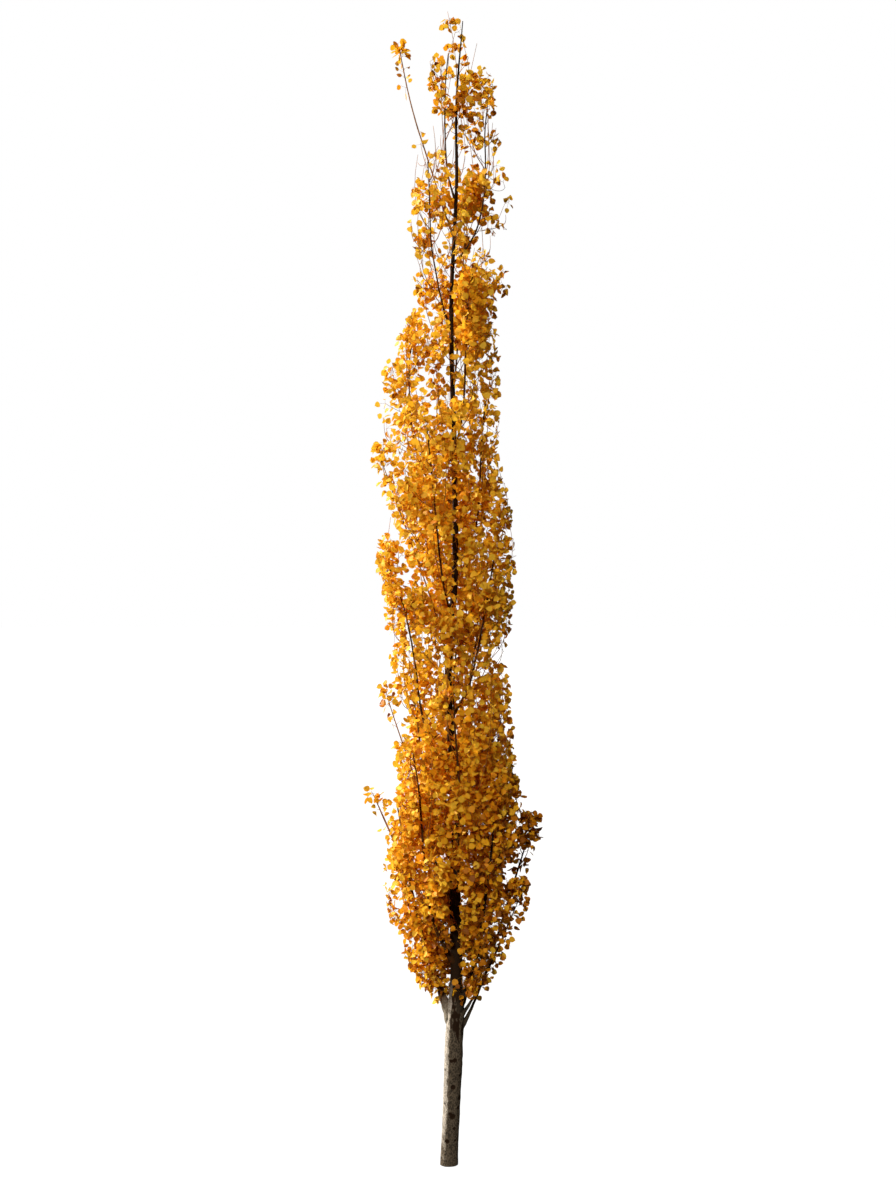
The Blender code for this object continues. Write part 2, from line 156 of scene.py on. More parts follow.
CORE_ENDS = (0.06, 0.94)
CORE_ROUNDING = 0.6
CORE_OVER_STEM = 1.3
CORE_SKIN = 0.8
CORE_TOP = 5.2

# Fine wood. A pair gives the least and the most
PATH_STEPS = 7
TWIG_THINNING = 0.6
TWIG_BOW = 0.16
TWIG_SAG = 0.5
RISING_LENGTH = (0.15, 0.60)
RISING_RADIUS = 0.0024
RISING_LEAN = 0.35
RISING_SCATTER = 0.12
RISING_BEND = 0.4
LEAST_SHOOT = 0.06
RISERS_A_LIMB = 8
RISER_LENGTH = (0.35, 1.00)
RISER_RADIUS = 0.0034
RISER_BARE = 0.45
RISER_PLACES = (0.05, 0.85)
RISER_SHIFT = (-0.05, 0.07)
RISER_CLIMB = 0.9
RISER_LEAN = 0.16
RISER_SCATTER = 0.05
CROSSING_BEND = (0.9, 0.3)
CROSSING_TWIGS = (
    # limb, share of its stem, degrees that the twig heads for, how far it goes, how far it rises
    ("02", 0.50, 186, 0.21, 0.30), ("02", 0.57, 192, 0.17, 0.30), ("02", 0.64, 178, 0.23, 0.28),
    ("04", 0.26, -6, 0.17, 0.30), ("04", 0.42, -12, 0.18, 0.28), ("10", 0.26, 185, 0.18, 0.22),
    ("10", 0.86, 172, 0.24, 0.28), ("12", 0.34, 0, 0.10, 0.30), ("13", 0.06, 183, 0.14, 0.26),
)
SPRIG_RADIUS = 0.0018
SPRIG_LEAN = 0.5
SPRIG_SHARE = 0.42
SPUR_SPACING = 0.0225
SPUR_PLACES = (0.2, 0.9)
SPUR_LENGTH = (0.008, 0.042)
SPUR_RADIUS = 0.0013
SPUR_TAPER = (1.1, 0.8)
SPUR_SPREAD = math.radians(62)
SPUR_SPREADING = (0.5, 1.3)
SPUR_TURNING = 0.3
SPUR_LIFT = 0.25
HALF_STEP = 0.01
TIP_SPURS = 2
TIP_CLUSTER = 0.06

# Real leaves. A pair gives the least and the most, or the value at the ground and at the top
LEAST_IN_FAN = (2, 3)
FAN_VARIATION = 3
SHOOT_TIP = 0.85
OPEN_SHOOT = 0.4
PETIOLE_LENGTH = (0.018, 0.040)
PETIOLE_RADIUS = 0.0007
PETIOLE_SPREAD = math.radians(55)
PETIOLE_SPREADING = (0.5, 1.35)
PETIOLE_SWINGS = (0, 0.6, 1.1)
PETIOLE_SAG = 0.15
BLADE_LENGTH = (0.039, 0.0415)
BLADE_VARIATION = 0.15
BLADE_LIMITS = (0.6, 1.3)
BLADE_SCATTER = 0.35
BLADE_SAG = 0.55
BLADE_TESTS = (0, 0.5, 0.9)
BLADE_CURL = (-0.8, 2.6)
FACE_TURNS = 1.0
LEAF_BASE = 1.04
CELL_OVERLAP = 0.12
LIMB_CLEARANCE = 0.006
TEST_BATCH = 8000
FULLNESS = np.array(
    [  # height, share of the spurs that carry leaves
        (0.86, 1.00), (1.30, 1.15), (1.60, 1.00), (1.90, 0.80), (2.20, 0.72),
        (2.50, 0.95), (2.78, 0.54), (3.08, 0.38), (3.37, 0.16), (3.67, 0.84),
        (3.96, 0.28), (4.26, 0.66), (4.55, 0.30), (4.85, 0.26), (5.14, 0.00),
        (5.44, 0.58), (5.74, 0.64), (5.84, -0.15), (5.98, -0.80), (6.12, -0.40),
        (6.33, 0.62), (6.62, -0.90), (6.92, 0.16), (7.20, -0.12), (7.50, 0.60),
    ]
)
FULLEST = 1.05
CLUMPING = 0.85
TIP_BONUS = 0.35
LANE_SWAY = 0.6
LANE_WIDTHS = (0.75, 0.3, 0.4)
LANES = (
    # limb that shows through the leaves in front of it, from this height, to this height, half width
    ("trunk", 1.02, 1.16, 0.055), ("trunk", 1.14, 1.82, 0.034), ("trunk", 3.83, 4.20, 0.018),
    ("trunk", 5.28, 5.62, 0.018), ("trunk", 5.76, 6.04, 0.020), ("trunk", 6.14, 6.52, 0.022),
    ("04", 2.06, 2.62, 0.014), ("07", 2.52, 2.86, 0.018), ("09", 3.30, 3.72, 0.018),
    ("10", 3.36, 3.62, 0.016), ("12", 3.86, 4.18, 0.018), ("15", 4.98, 5.22, 0.016),
    ("17", 5.70, 6.40, 0.018), ("18", 6.56, 6.90, 0.016),
)


class Habit(NamedTuple):
    """How a limb grows: how far leaves stand off a shoot, the share of its spurs that are leafy at the
    foot and the tip of its stem, how many risers it has, and its girth as a share of the part's."""

    leaf_reach: float
    foot_fullness: float
    tip_fullness: float
    risers: int
    girth: float


CROWN_HABIT = Habit(0, 1, 1, RISERS_A_LIMB, 1)
SHOOT_HABITS = {
    "right_shoot": Habit(0.11, 0.50, 0.75, 4, 0.42),
    "inner_shoot": Habit(0.12, 0.80, 0.90, 4, 0.45),
    "low_left_shoot": Habit(0.07, 0.10, 0.90, 0, 0.55),
    "left_shoot": Habit(0.08, 0.30, 0.90, 0, 0.55),
    "shoulder_shoot": Habit(0.12, 0.45, 0.80, 2, 0.60),
    "top_shoot": Habit(0.07, 0.16, 0.90, 0, 0.85),
}

# Leaf colours with their slots, from the brightest to the darkest. Leaves count them from 0
TINTS = {
    "straw_gold": ((0.94, 0.57, 0.036), "gold_leaf"),
    "golden": ((0.94, 0.49, 0.018), "gold_leaf"),
    "amber": ((0.88, 0.37, 0.010), "amber_leaf"),
    "russet": ((0.60, 0.205, 0.006), "bronze_leaf"),
    "umber": ((0.32, 0.100, 0.005), "bronze_leaf"),
}
PETIOLE_GOLD = (0.50, 0.26, 0.04)
GLOW = 0.34
LEAF_ROUGHNESS = 0.45
VEIN_SIZE = 140
VEIN_BUMP = (0.8, 0.004)

# Which tint a leaf takes: the mean, how far sprays and leaves vary, and what shifts it to a darker one.
# The shifts to the right, at the foot and deep inside are painted shade of the crown
MEAN_TINT = 0.25
SPRAY_VARIATION = 0.45
LEAF_VARIATION = 1.35
DARKER_TO_RIGHT = 0.5
LOW_TOP = 3.2
LOW_DARKER = (2.5, 2.4, 4)
HIGH_FOOT = 5.5
HIGH_DARKER = 0.4
MID_HEIGHT = 4.9
MID_SPAN = 1.2
MID_BRIGHTER = (0.6, 0.9)
SHADE_DEPTH = 0.25
SHADE_DARKER = 2.2
SHOOT_DARKER = 0.5

# Bark. Its patterns: noise scale, detail, stretch, and the values between which the pattern comes in
TWIG_BARK = (0.34, 0.125, 0.018)
# Dark bark that is painted shade: the trunk's side away from the sun and the limbs right of the fork. On the
# trunk it also colours random patches and the darker foot
SHADE_AND_PATCH_BARK = (0.080, 0.060, 0.039)
DEEP_BARK = (0.020, 0.0085, 0.0025)
# Each bark turns to a darker colour higher up: partly darker bark, partly painted shade of the crown
BARKS = {
    # colour, colour higher up, and the heights between which it turns to that
    "trunk_bark": ((0.67, 0.595, 0.505), DEEP_BARK, (1.04, 1.22)),
    "limb_bark": ((0.42, 0.36, 0.28), (0.060, 0.023, 0.005), (0.99, 1.13)),
    "fork_bark": (SHADE_AND_PATCH_BARK, DEEP_BARK, (0.95, 1.30)),
    "shoot_bark": ((0.46, 0.19, 0.035), DEEP_BARK, (9, 10)),
}
BARK_ROUGHNESS = 0.82
TWIG_ROUGHNESS = 0.8
TWIG_GRAIN = 60
SPECULAR = 0.15
CLOUDS = (22, 4, (1, 1, 0.5), 0.35, 0.70)
GRAIN = (135, 3, (1, 1, 0.6), 0.42, 0.60)
PORES = (75, 2, (1, 1, 3.4), 0.62, 0.68)
DARK_EDGE = (0.30, 0.60)
CLOUD_SHADE = 0.62
GRAIN_SHADE = 0.45
SPECKLE_SHADES = (1.5, 0.4)
TWIG_SHADES = (0.6, 1.4)
BARK_BUMP = (0.5, 0.003)
# Painted shade: the trunk's side away from the sun turns to the dark bark, with random patches, and the foot
# is darker too
PAINTED_SHADE_SIDE = math.radians(-40)
PAINTED_SHADE_FROM = 0.10
PAINTED_SHADE_SLOPE = 7
MOST_SHADE_AND_PATCHES = 0.97
PATCHINESS = 0.6
FOOT_DARKENING = 1.2
DARK_FOOT_HEIGHT = 0.19
# Painted shade of the crown on the trunk: from this height its shaded side turns dark, over a ragged edge
# this long
CROWN_SHADE_FOOT = 0.985
CROWN_SHADE_LENGTH = 0.10
FORK_TOP = 1.0
# Folds at the fork, darkened through the dark mask: partly dark furrowed bark, partly painted shade in the
# crotch
CREASES = (
    # height, degrees round the trunk from the front towards the right, half width, half height
    (0.925, 10, 0.024, 0.062), (0.985, 2, 0.030, 0.030), (1.040, -14, 0.014, 0.014),
    (0.885, 58, 0.012, 0.050), (0.930, -28, 0.008, 0.045), (0.860, 24, 0.009, 0.050),
)
CREASE_DEPTH = 0.0015
CREASE_RAGGEDNESS = 0.6
KNOTS = (
    # height, degrees round the trunk from the front towards the right, size
    (0.695, 10, 0.016), (0.690, -14, 0.012), (0.626, -62, 0.008), (0.591, 55, 0.012), (0.520, 4, 0.017),
    (0.445, 60, 0.018), (0.407, -54, 0.009), (0.382, 50, 0.015), (0.328, 8, 0.020), (0.345, -8, 0.012),
    (0.249, 26, 0.011), (0.164, -20, 0.016), (0.169, 40, 0.009),
)
BACK_KNOTS = 14
BACK_KNOT_SPANS = ((0.1, 0.85), (95, 265), (0.008, 0.015))
KNOT_DEPTH = 0.0035
KNOT_RIM = 0.0022
KNOT_RIM_SIZES = (1.1, 0.4)
KNOT_RAGGEDNESS = 0.2

# Ripples: how the points are stretched first, length of the waves, seed
RIPPLES = {
    "clumps": ((1, 1, 1), 0.145, 8),
    "lane_way": ((0, 0, 1), 0.16, 7),
    "lane_sides": ((0.4, 0, 1), 0.06, 12),
    "knots": ((1, 1, 1), 0.012, 5),
    "creases": ((1, 1, 0.3), 0.016, 6),
    "patches": ((1, 1, 0.5), 0.032, 9),
    "crown_shade": ((1, 1, 0.12), 0.020, 11),
    "trunk_swells": ((1, 1, 0.3), 0.09, 1),
    "trunk_bumps": ((1, 1, 0.6), 0.03, 2),
    "limb_swells": ((1, 1, 0.35), 0.03, 3),
    "limb_bumps": ((1, 1, 1), 0.009, 4),
}

# Skins. Relief: a ripple and its share of the radius
KNOTTY_HEIGHT = 1.4
KNOTTY_SPACING = 0.006
TRUNK_SPACING = 0.02
TRUNK_SIDES = 64
TRUNK_RELIEF = {"trunk_swells": 0.030, "trunk_bumps": 0.012}
COLLAR_SWELL = 0.30
COLLAR_REACH = 2.2
LIMB_SPACING = 0.014
LIMB_SIDES = 14
LIMB_RELIEF = {"limb_swells": 0.07, "limb_bumps": 0.05}
FOOT_SWELL = 0.8
FOOT_REACH = 4.5
TWIG_SIDES = 5
SPUR_SIDES = 4
PETIOLE_SIDES = 3

# Camera and light
CAMERA_PLACE = (-0.0066, -10.89, 3.717)
CAMERA_LENS = 50
LIGHTS = (
    # name, where it comes from, energy, degrees across
    ("sun", (-0.76, 0.31, 0.57), 8.4, 2),
    ("front", (-0.25, -0.85, 0.46), 2.0, 6),
)
LIGHT_COLOUR = (1.0, 0.95, 0.86)
FILL_COLOUR = (1.0, 0.91, 0.81)
FILL = 0.10
WHITE = (1, 1, 1)
FLOOR_COLOUR = (0.02, 0.02, 0.02)
FLOOR_SPECULAR = 0.5
FLOOR_GLOW = 0.995


@dataclass
class Limb:
    """A bough and the stem that grows on from it: points and radii, from the trunk's middle to the tip."""

    name: str
    bough: list
    bough_radii: list
    stem: list
    stem_radii: list
    is_shoot: bool


def habit_of(limb):
    return SHOOT_HABITS.get(limb.name, CROWN_HABIT)


def smooth(table, heights):
    """The rows of a table at these heights, on a curve through every row. Column 0 is the height."""
    heights = np.clip(np.atleast_1d(heights), table[0, 0], table[-1, 0])
    knots, values = table[:, 0], table[:, 1:]
    slopes = np.gradient(values, knots, axis=0)
    row = np.clip(np.searchsorted(knots, heights) - 1, 0, len(knots) - 2)
    span = (knots[row + 1] - knots[row])[:, None]
    t = (heights - knots[row])[:, None] / span
    before = (1 + 2 * t) * values[row] + t * span * slopes[row]
    after = (3 - 2 * t) * values[row + 1] - (1 - t) * span * slopes[row + 1]
    return (1 - t) ** 2 * before + t**2 * after


def trunk_at(height):
    """The middle of the trunk at a height."""
    x, y, _ = smooth(TRUNK, height)[0]
    return Vector((x, y, height))


def trunk_radius(height):
    return float(smooth(TRUNK, height)[0, 2])


def reach(heights, azimuths):
    """How far the crown reaches from the trunk: at the front and back, halfway between left and right."""
    left, right = smooth(CROWN, heights).T
    return (right + left) / 2 + (right - left) / 2 * np.cos(azimuths)


def blend(low, high, share):
    return low + (high - low) * share


def limb_steps(bare):
    """Shares of a limb's rise where its points lie: even along the bare bough, then along the stem."""
    bough = np.linspace(0, bare, BOUGH_STEPS + 1)
    return np.append(bough, np.linspace(bare, 1, STEM_STEPS + 1)[1:])


def limb_from(name, heights, outs, azimuth, is_shoot):
    """A limb through points at these heights, each this far out from the trunk."""
    way = Vector((math.cos(azimuth), math.sin(azimuth), 0))
    route = [trunk_at(h) + way * o for h, o in zip(heights, outs)]
    root = max(LEAST_GIRTH, LIMB_GIRTH * trunk_radius(heights[0]))
    left = np.linspace(1, 0, len(route))
    radii = list(blend(LIMB_TIP_RADIUS, root, left**LIMB_TAPER))
    last = BOUGH_STEPS
    join = (route[last] - route[last - 1]).normalized()
    stem = [route[last] + join * GAP, route[last] + join * JOIN_LENGTH, *route[last + 1 :]]
    stem_radii = [radii[last], radii[last], *radii[last + 1 :]]
    return Limb(name, route[: last + 1], radii[: last + 1], stem, stem_radii, is_shoot)


def crown_limb(i):
    """One of the limbs that fill the crown: it spreads from the trunk soon, then climbs beside it."""
    share = i / (LIMB_COUNT - 1)
    azimuth = FIRST_AZIMUTH + i * GOLDEN_ANGLE
    rise = blend(*LIMB_RISE, share)
    along = limb_steps(blend(*BARE_RISE, share) / rise)
    heights = blend(*FORK_HEIGHT, share**FORK_CROWDING) + rise * along
    spread = 1 - np.exp(-rise * along / blend(*SPREAD_HEIGHT, share))
    out_share = BODY_SHARE * spread + (TIP_SHARE - BODY_SHARE) * along**3
    outs = out_share * reach(heights, azimuth)
    return limb_from(f"{i + 1:02d}", heights, outs, azimuth, False)


def shoot(name, fork, azimuth, tip, out, bare):
    """A long shoot, which leans away from the trunk all the way to its tip."""
    along = limb_steps(bare)
    return limb_from(name, blend(fork, tip, along), out * along**SHOOT_BEND, azimuth, True)


def planned_limbs():
    """Every limb of the tree, from the lowest fork up, and then the shoots."""
    return [crown_limb(i) for i in range(LIMB_COUNT)] + [shoot(*row) for row in SHOOTS]


class Space:
    """The space of each mass: nearer to its own stem than to another, inside the crown, clear of limbs."""

    def __init__(self, limbs):
        self.is_shoot = np.array([limb.is_shoot for limb in limbs])
        self.leaf_reach = np.array([habit_of(limb).leaf_reach for limb in limbs])
        heights = np.linspace(0, TREE_HEIGHT, 2 * TRUNK_RINGS)
        trunk = [trunk_at(h) for h in heights]
        paths = {limb.name: np.array(limb.bough + limb.stem[1:]) for limb in limbs}
        paths["trunk"] = np.array(trunk)
        self.lanes = [(paths[name], *row) for name, *row in LANES]
        rows = self.segments(trunk, [trunk_radius(h) for h in heights], -1, False)
        for owner, limb in enumerate(limbs):
            rows += self.segments(limb.bough, limb.bough_radii, owner, False)
            rows += self.segments(limb.stem, limb.stem_radii, owner, True)
        starts, ends, first, last, owners, stems = zip(*rows)
        self.start = np.array(starts)
        self.run = np.array(ends) - self.start
        self.first, self.last = np.array(first), np.array(last)
        self.owner, self.is_stem = np.array(owners), np.array(stems)

    @staticmethod
    def segments(points, radii, owner, is_stem):
        pairs = zip(points, points[1:], radii, radii[1:])
        return [(tuple(a), tuple(b), ra, rb, owner, is_stem) for a, b, ra, rb in pairs]

    def clearances(self, points):
        """The distance from each point to the skin of each stretch of limb."""
        away = points[:, None, :] - self.start
        along = (away * self.run).sum(2) / (self.run**2).sum(1)
        along = along.clip(0, 1)
        distance = np.linalg.norm(away - along[..., None] * self.run, axis=2)
        return distance - self.first - along * (self.last - self.first)

    def inside_crown(self, points):
        axis = smooth(TRUNK, points[:, 2])[:, :2]
        x, y = (points[:, :2] - axis).T
        within = np.hypot(x, y) <= reach(points[:, 2], np.arctan2(y, x)) + OVERREACH
        return within & (points[:, 2] > CROWN[0, 0]) & (points[:, 2] < TREE_HEIGHT)

    def fits(self, points, owner):
        """Whether all of these points are in the owner's space."""
        points = np.array(points, float)
        clear = self.clearances(points)
        own = clear[:, self.is_stem & (self.owner == owner)].min(1)
        other = clear[:, self.is_stem & (self.owner != owner)].min(1)
        limbs = clear[:, ~self.is_stem].min(1)
        if self.is_shoot[owner]:
            inside = own < SHOOT_REACH
        else:
            inside = self.inside_crown(points)
        return bool((inside & (own + CELL_MARGIN < other) & (limbs > CLEARANCE)).all())

    def room(self, point, owner):
        """How far a round core can spread from a point on the owner's stem."""
        point = np.array([point], float)
        clear = self.clearances(point)[0]
        other = clear[self.is_stem & (self.owner != owner)].min() / 2
        limbs = clear[~self.is_stem].min() - CLEARANCE
        x, y = (point[0, :2] - smooth(TRUNK, point[:, 2])[0, :2]).T
        edge = reach(point[:, 2], np.array([math.atan2(y, x)]))[0] - math.hypot(x, y)
        return min(other, limbs, edge)

    def allows(self, points, owners):
        """Whether each point suits a real leaf of its owner. Here neighbouring masses mingle a little."""
        found = []
        for part in np.array_split(np.arange(len(points)), len(points) // TEST_BATCH + 1):
            clear = self.clearances(points[part])
            mine = self.owner[None, :] == owners[part][:, None]
            own = np.where(mine, clear, np.inf).min(1)
            other = np.where(self.is_stem & ~mine, clear, np.inf).min(1)
            limbs = clear[:, ~self.is_stem].min(1)
            by_shoot = own < self.leaf_reach[owners[part]]
            in_crown = self.inside_crown(points[part]) & (own < other + CELL_OVERLAP)
            inside = np.where(self.is_shoot[owners[part]], by_shoot, in_crown)
            found.append(inside & (limbs > LIMB_CLEARANCE) & (points[part][:, 2] > LEAF_BASE))
        return np.concatenate(found) & ~self.in_lane(points)

    def in_lane(self, points):
        """Whether each point lies in front of a limb that shows, in a lane with wandering sides."""
        gap = np.zeros(len(points), bool)
        height = points[:, 2]
        steady, slow, quick = LANE_WIDTHS
        for path, low, high, half_width in self.lanes:
            x = points[:, 0] - np.interp(height, path[:, 2], path[:, 0])
            wander = ripple(points, "lane_way", low)
            width = half_width * (steady + slow * wander + quick * ripple(points, "lane_sides", low))
            inside = abs(x + LANE_SWAY * half_width * wander) < width
            inside &= (height > low) & (height < high)
            gap |= inside & (points[:, 1] < np.interp(height, path[:, 2], path[:, 1]))
        return gap


def blade_points():
    """Points spread over the unit coarse leaf, to test where it would lie."""
    points = []
    for turn in np.linspace(-math.pi, math.pi, 12, endpoint=False)[1:]:
        for share in (0.33, 0.66, 1):
            ahead = 1 + share * math.cos(turn)
            sideways = LEAF_WIDTH_SHARE * share * math.sin(turn)
            points.append(Vector((STALK_SHARE + ahead / 2, sideways / 2, 0)))
    return points


BLADE_POINTS = blade_points()


def leaf_place(root, way, face, length):
    """The matrix that puts the unit leaf at root, pointing this way, with its face turned towards face."""
    side = face.cross(way).normalized()
    up = way.cross(side).normalized()
    turn = Matrix((way, side, up)).transposed().to_4x4()
    return Matrix.Translation(root) @ turn @ Matrix.Scale(length, 4)


def turned_off(way, around, spread, side=None):
    """A direction this far off another, turned by an angle around it from its side."""
    side = side or way.orthogonal()
    side = (side - way * side.dot(way)).normalized()
    side.rotate(Matrix.Rotation(around, 3, way))
    return way * math.cos(spread) + side * math.sin(spread)


class Growth:
    """Plans the coarse twigs and leaves of one limb's stem, with the same draws as the part."""

    def __init__(self, limb, owner, space):
        self.limb, self.owner, self.space = limb, owner, space
        self.chance = random.Random(SEED + owner)
        self.leaf_length = blend(*LEAF_LENGTH, limb.stem[-1].z / TREE_HEIGHT)
        if limb.is_shoot:
            self.leaf_length *= SHOOT_LEAF_SHARE
        self.core_radii = self.planned_core()
        self.twigs, self.leaves, self.middles = [], [], []
        self.grow()

    def planned_core(self):
        """The core's radius at each point of the stem, or nothing for an open mass."""
        limb = self.limb
        if limb.is_shoot or limb.stem[0].z > CORE_TOP:
            return []
        profile = np.sin(math.pi * np.linspace(*CORE_ENDS, len(limb.stem))) ** CORE_ROUNDING
        rooms = [self.space.room(p, self.owner) * CORE_SHARE for p in limb.stem]
        radii = np.minimum(CORE_RADIUS, rooms) * profile
        return list(np.maximum(radii, [r * CORE_OVER_STEM for r in limb.stem_radii]))

    def core_radius(self, height):
        heights = [p.z for p in self.limb.stem]
        return np.interp(height, heights, self.core_radii) if self.core_radii else 0

    def stem_point(self, share):
        """A point along the stem, with the stem's direction and radius there."""
        limb = self.limb
        steps = [b - a for a, b in zip(limb.stem, limb.stem[1:])]
        left = share * sum(step.length for step in steps)
        i = 0
        while left > steps[i].length and i < len(steps) - 1:
            left -= steps[i].length
            i += 1
        part = min(1, left / steps[i].length)
        radius = blend(limb.stem_radii[i], limb.stem_radii[i + 1], part)
        return limb.stem[i] + steps[i] * part, steps[i].normalized(), radius

    def try_leaf(self, root, way):
        """Adds a leaf if one of a few turns of its blade fits, and says whether it did."""
        out = (root - trunk_at(root.z)).normalized()
        for k in range(LEAF_TRIES):
            length = self.leaf_length * blend(*LEAF_SHRINKING, k / LEAF_TRIES)
            ahead = (way + Vector((0, 0, -LEAF_DROOP))).normalized()
            around = self.chance.uniform(0, math.tau)
            ahead = turned_off(ahead, around, LEAF_SWING * k / LEAF_TRIES)
            scatter = [self.chance.gauss(0, FACE_SCATTER) for _ in range(3)]
            place = leaf_place(root, ahead, out + Vector(scatter), length)
            middle = place @ Vector((STALK_SHARE + 0.5, 0, 0))
            nearest = min([(middle - other).length for other in self.middles], default=1)
            if nearest < LEAF_APART * length:
                continue
            if self.space.fits([place @ p for p in BLADE_POINTS], self.owner):
                self.middles.append(middle)
                self.leaves.append(place)
                return True
        return False

    def try_twig(self, root, way, length, girth):
        """Adds a twig with a fan of leaves at its end, cut short until it and its end leaf fit."""
        while True:
            tested = [root + way * r for r in np.arange(JOIN_LENGTH, length, TEST_SPACING)]
            end = root + way * (length - ROOT_DEPTH)
            if self.space.fits(tested, self.owner) and self.try_leaf(end, way):
                break
            length *= TWIG_CUT
            if length < LEAST_TWIG:
                return
        self.twigs.append((root, way, length, min(TWIG_RADIUS, TWIG_GIRTH * girth)))
        around = self.chance.uniform(0, math.tau)
        for k in range(1, LEAVES_A_TWIG):
            around += math.pi + self.chance.uniform(*LEAF_TURNING)
            along = length - k * LEAF_SPACING
            if along > CORE_SKIN * self.core_radius(root.z + way.z * along):
                self.try_leaf(root + way * along, turned_off(way, around, LEAF_SPREAD))

    def grow(self):
        """Twigs leave the stem in a spiral that favours the side away from the trunk."""
        stem = self.limb.stem
        length = sum((b - a).length for a, b in zip(stem, stem[1:]))
        count = max(LEAST_TWIGS, round(length / blend(*TWIG_SPACING, stem[0].z / TREE_HEIGHT)))
        around = self.chance.uniform(0, math.tau)
        for k in range(count):
            share = (k + FIRST_TWIG) / count
            root, way, girth = self.stem_point(share)
            around += GOLDEN_ANGLE
            turn = ((around + math.pi) % math.tau - math.pi) * OUTWARD_SHARE
            spread = TWIG_SPREAD * self.chance.uniform(*TWIG_SPREADING)
            far = TWIG_LENGTH * blend(*TWIG_SHORTENING, share)
            if self.limb.is_shoot:
                far *= SHOOT_TWIG_SHARE
            out = root - trunk_at(root.z)
            self.try_twig(root, turned_off(way, turn, spread, out), far, girth)
        tip, way, _ = self.stem_point(1)
        self.try_leaf(tip - way * ROOT_DEPTH, way)


def unit(vectors):
    """Each vector at length 1."""
    return vectors / np.maximum(np.linalg.norm(vectors, axis=-1, keepdims=True), 1e-9)


def across(ways):
    """A unit vector square to each direction."""
    least = np.eye(3)[np.abs(ways).argmin(-1)]
    return unit(np.cross(ways, least))


def swung(ways, around, spread):
    """Directions this far off others, turned by an angle around them."""
    side = across(ways)
    up = np.cross(ways, side)
    off = side * np.cos(around)[:, None] + up * np.sin(around)[:, None]
    return ways * np.cos(spread)[:, None] + off * np.sin(spread)[:, None]


def bent_path(starts, middles, ends):
    """Points along arcs from starts to ends that lean towards their middles."""
    t = np.linspace(0, 1, PATH_STEPS)[None, :, None]
    a, b, c = starts[:, None], middles[:, None], ends[:, None]
    return (1 - t) ** 2 * a + 2 * t * (1 - t) * b + t**2 * c


def points_along(path, marks, at):
    """Points on a path at these distances along it, where marks are the distances of its own points."""
    return np.column_stack([np.interp(at, marks, column) for column in path.T])


def upper_limb(limb):
    """The points and radii of a limb, from halfway along its bough to its tip."""
    half = BOUGH_STEPS // 2
    points = np.array(limb.bough[half:] + limb.stem[1:])
    return points, np.array(limb.bough_radii[half:] + limb.stem_radii[1:])


@dataclass
class Axes:
    """Paths of one limb's growth that spurs leave, past their bare share. Each path is one spray."""

    paths: np.ndarray
    radii: np.ndarray
    owner: int
    bare: float = 0.0


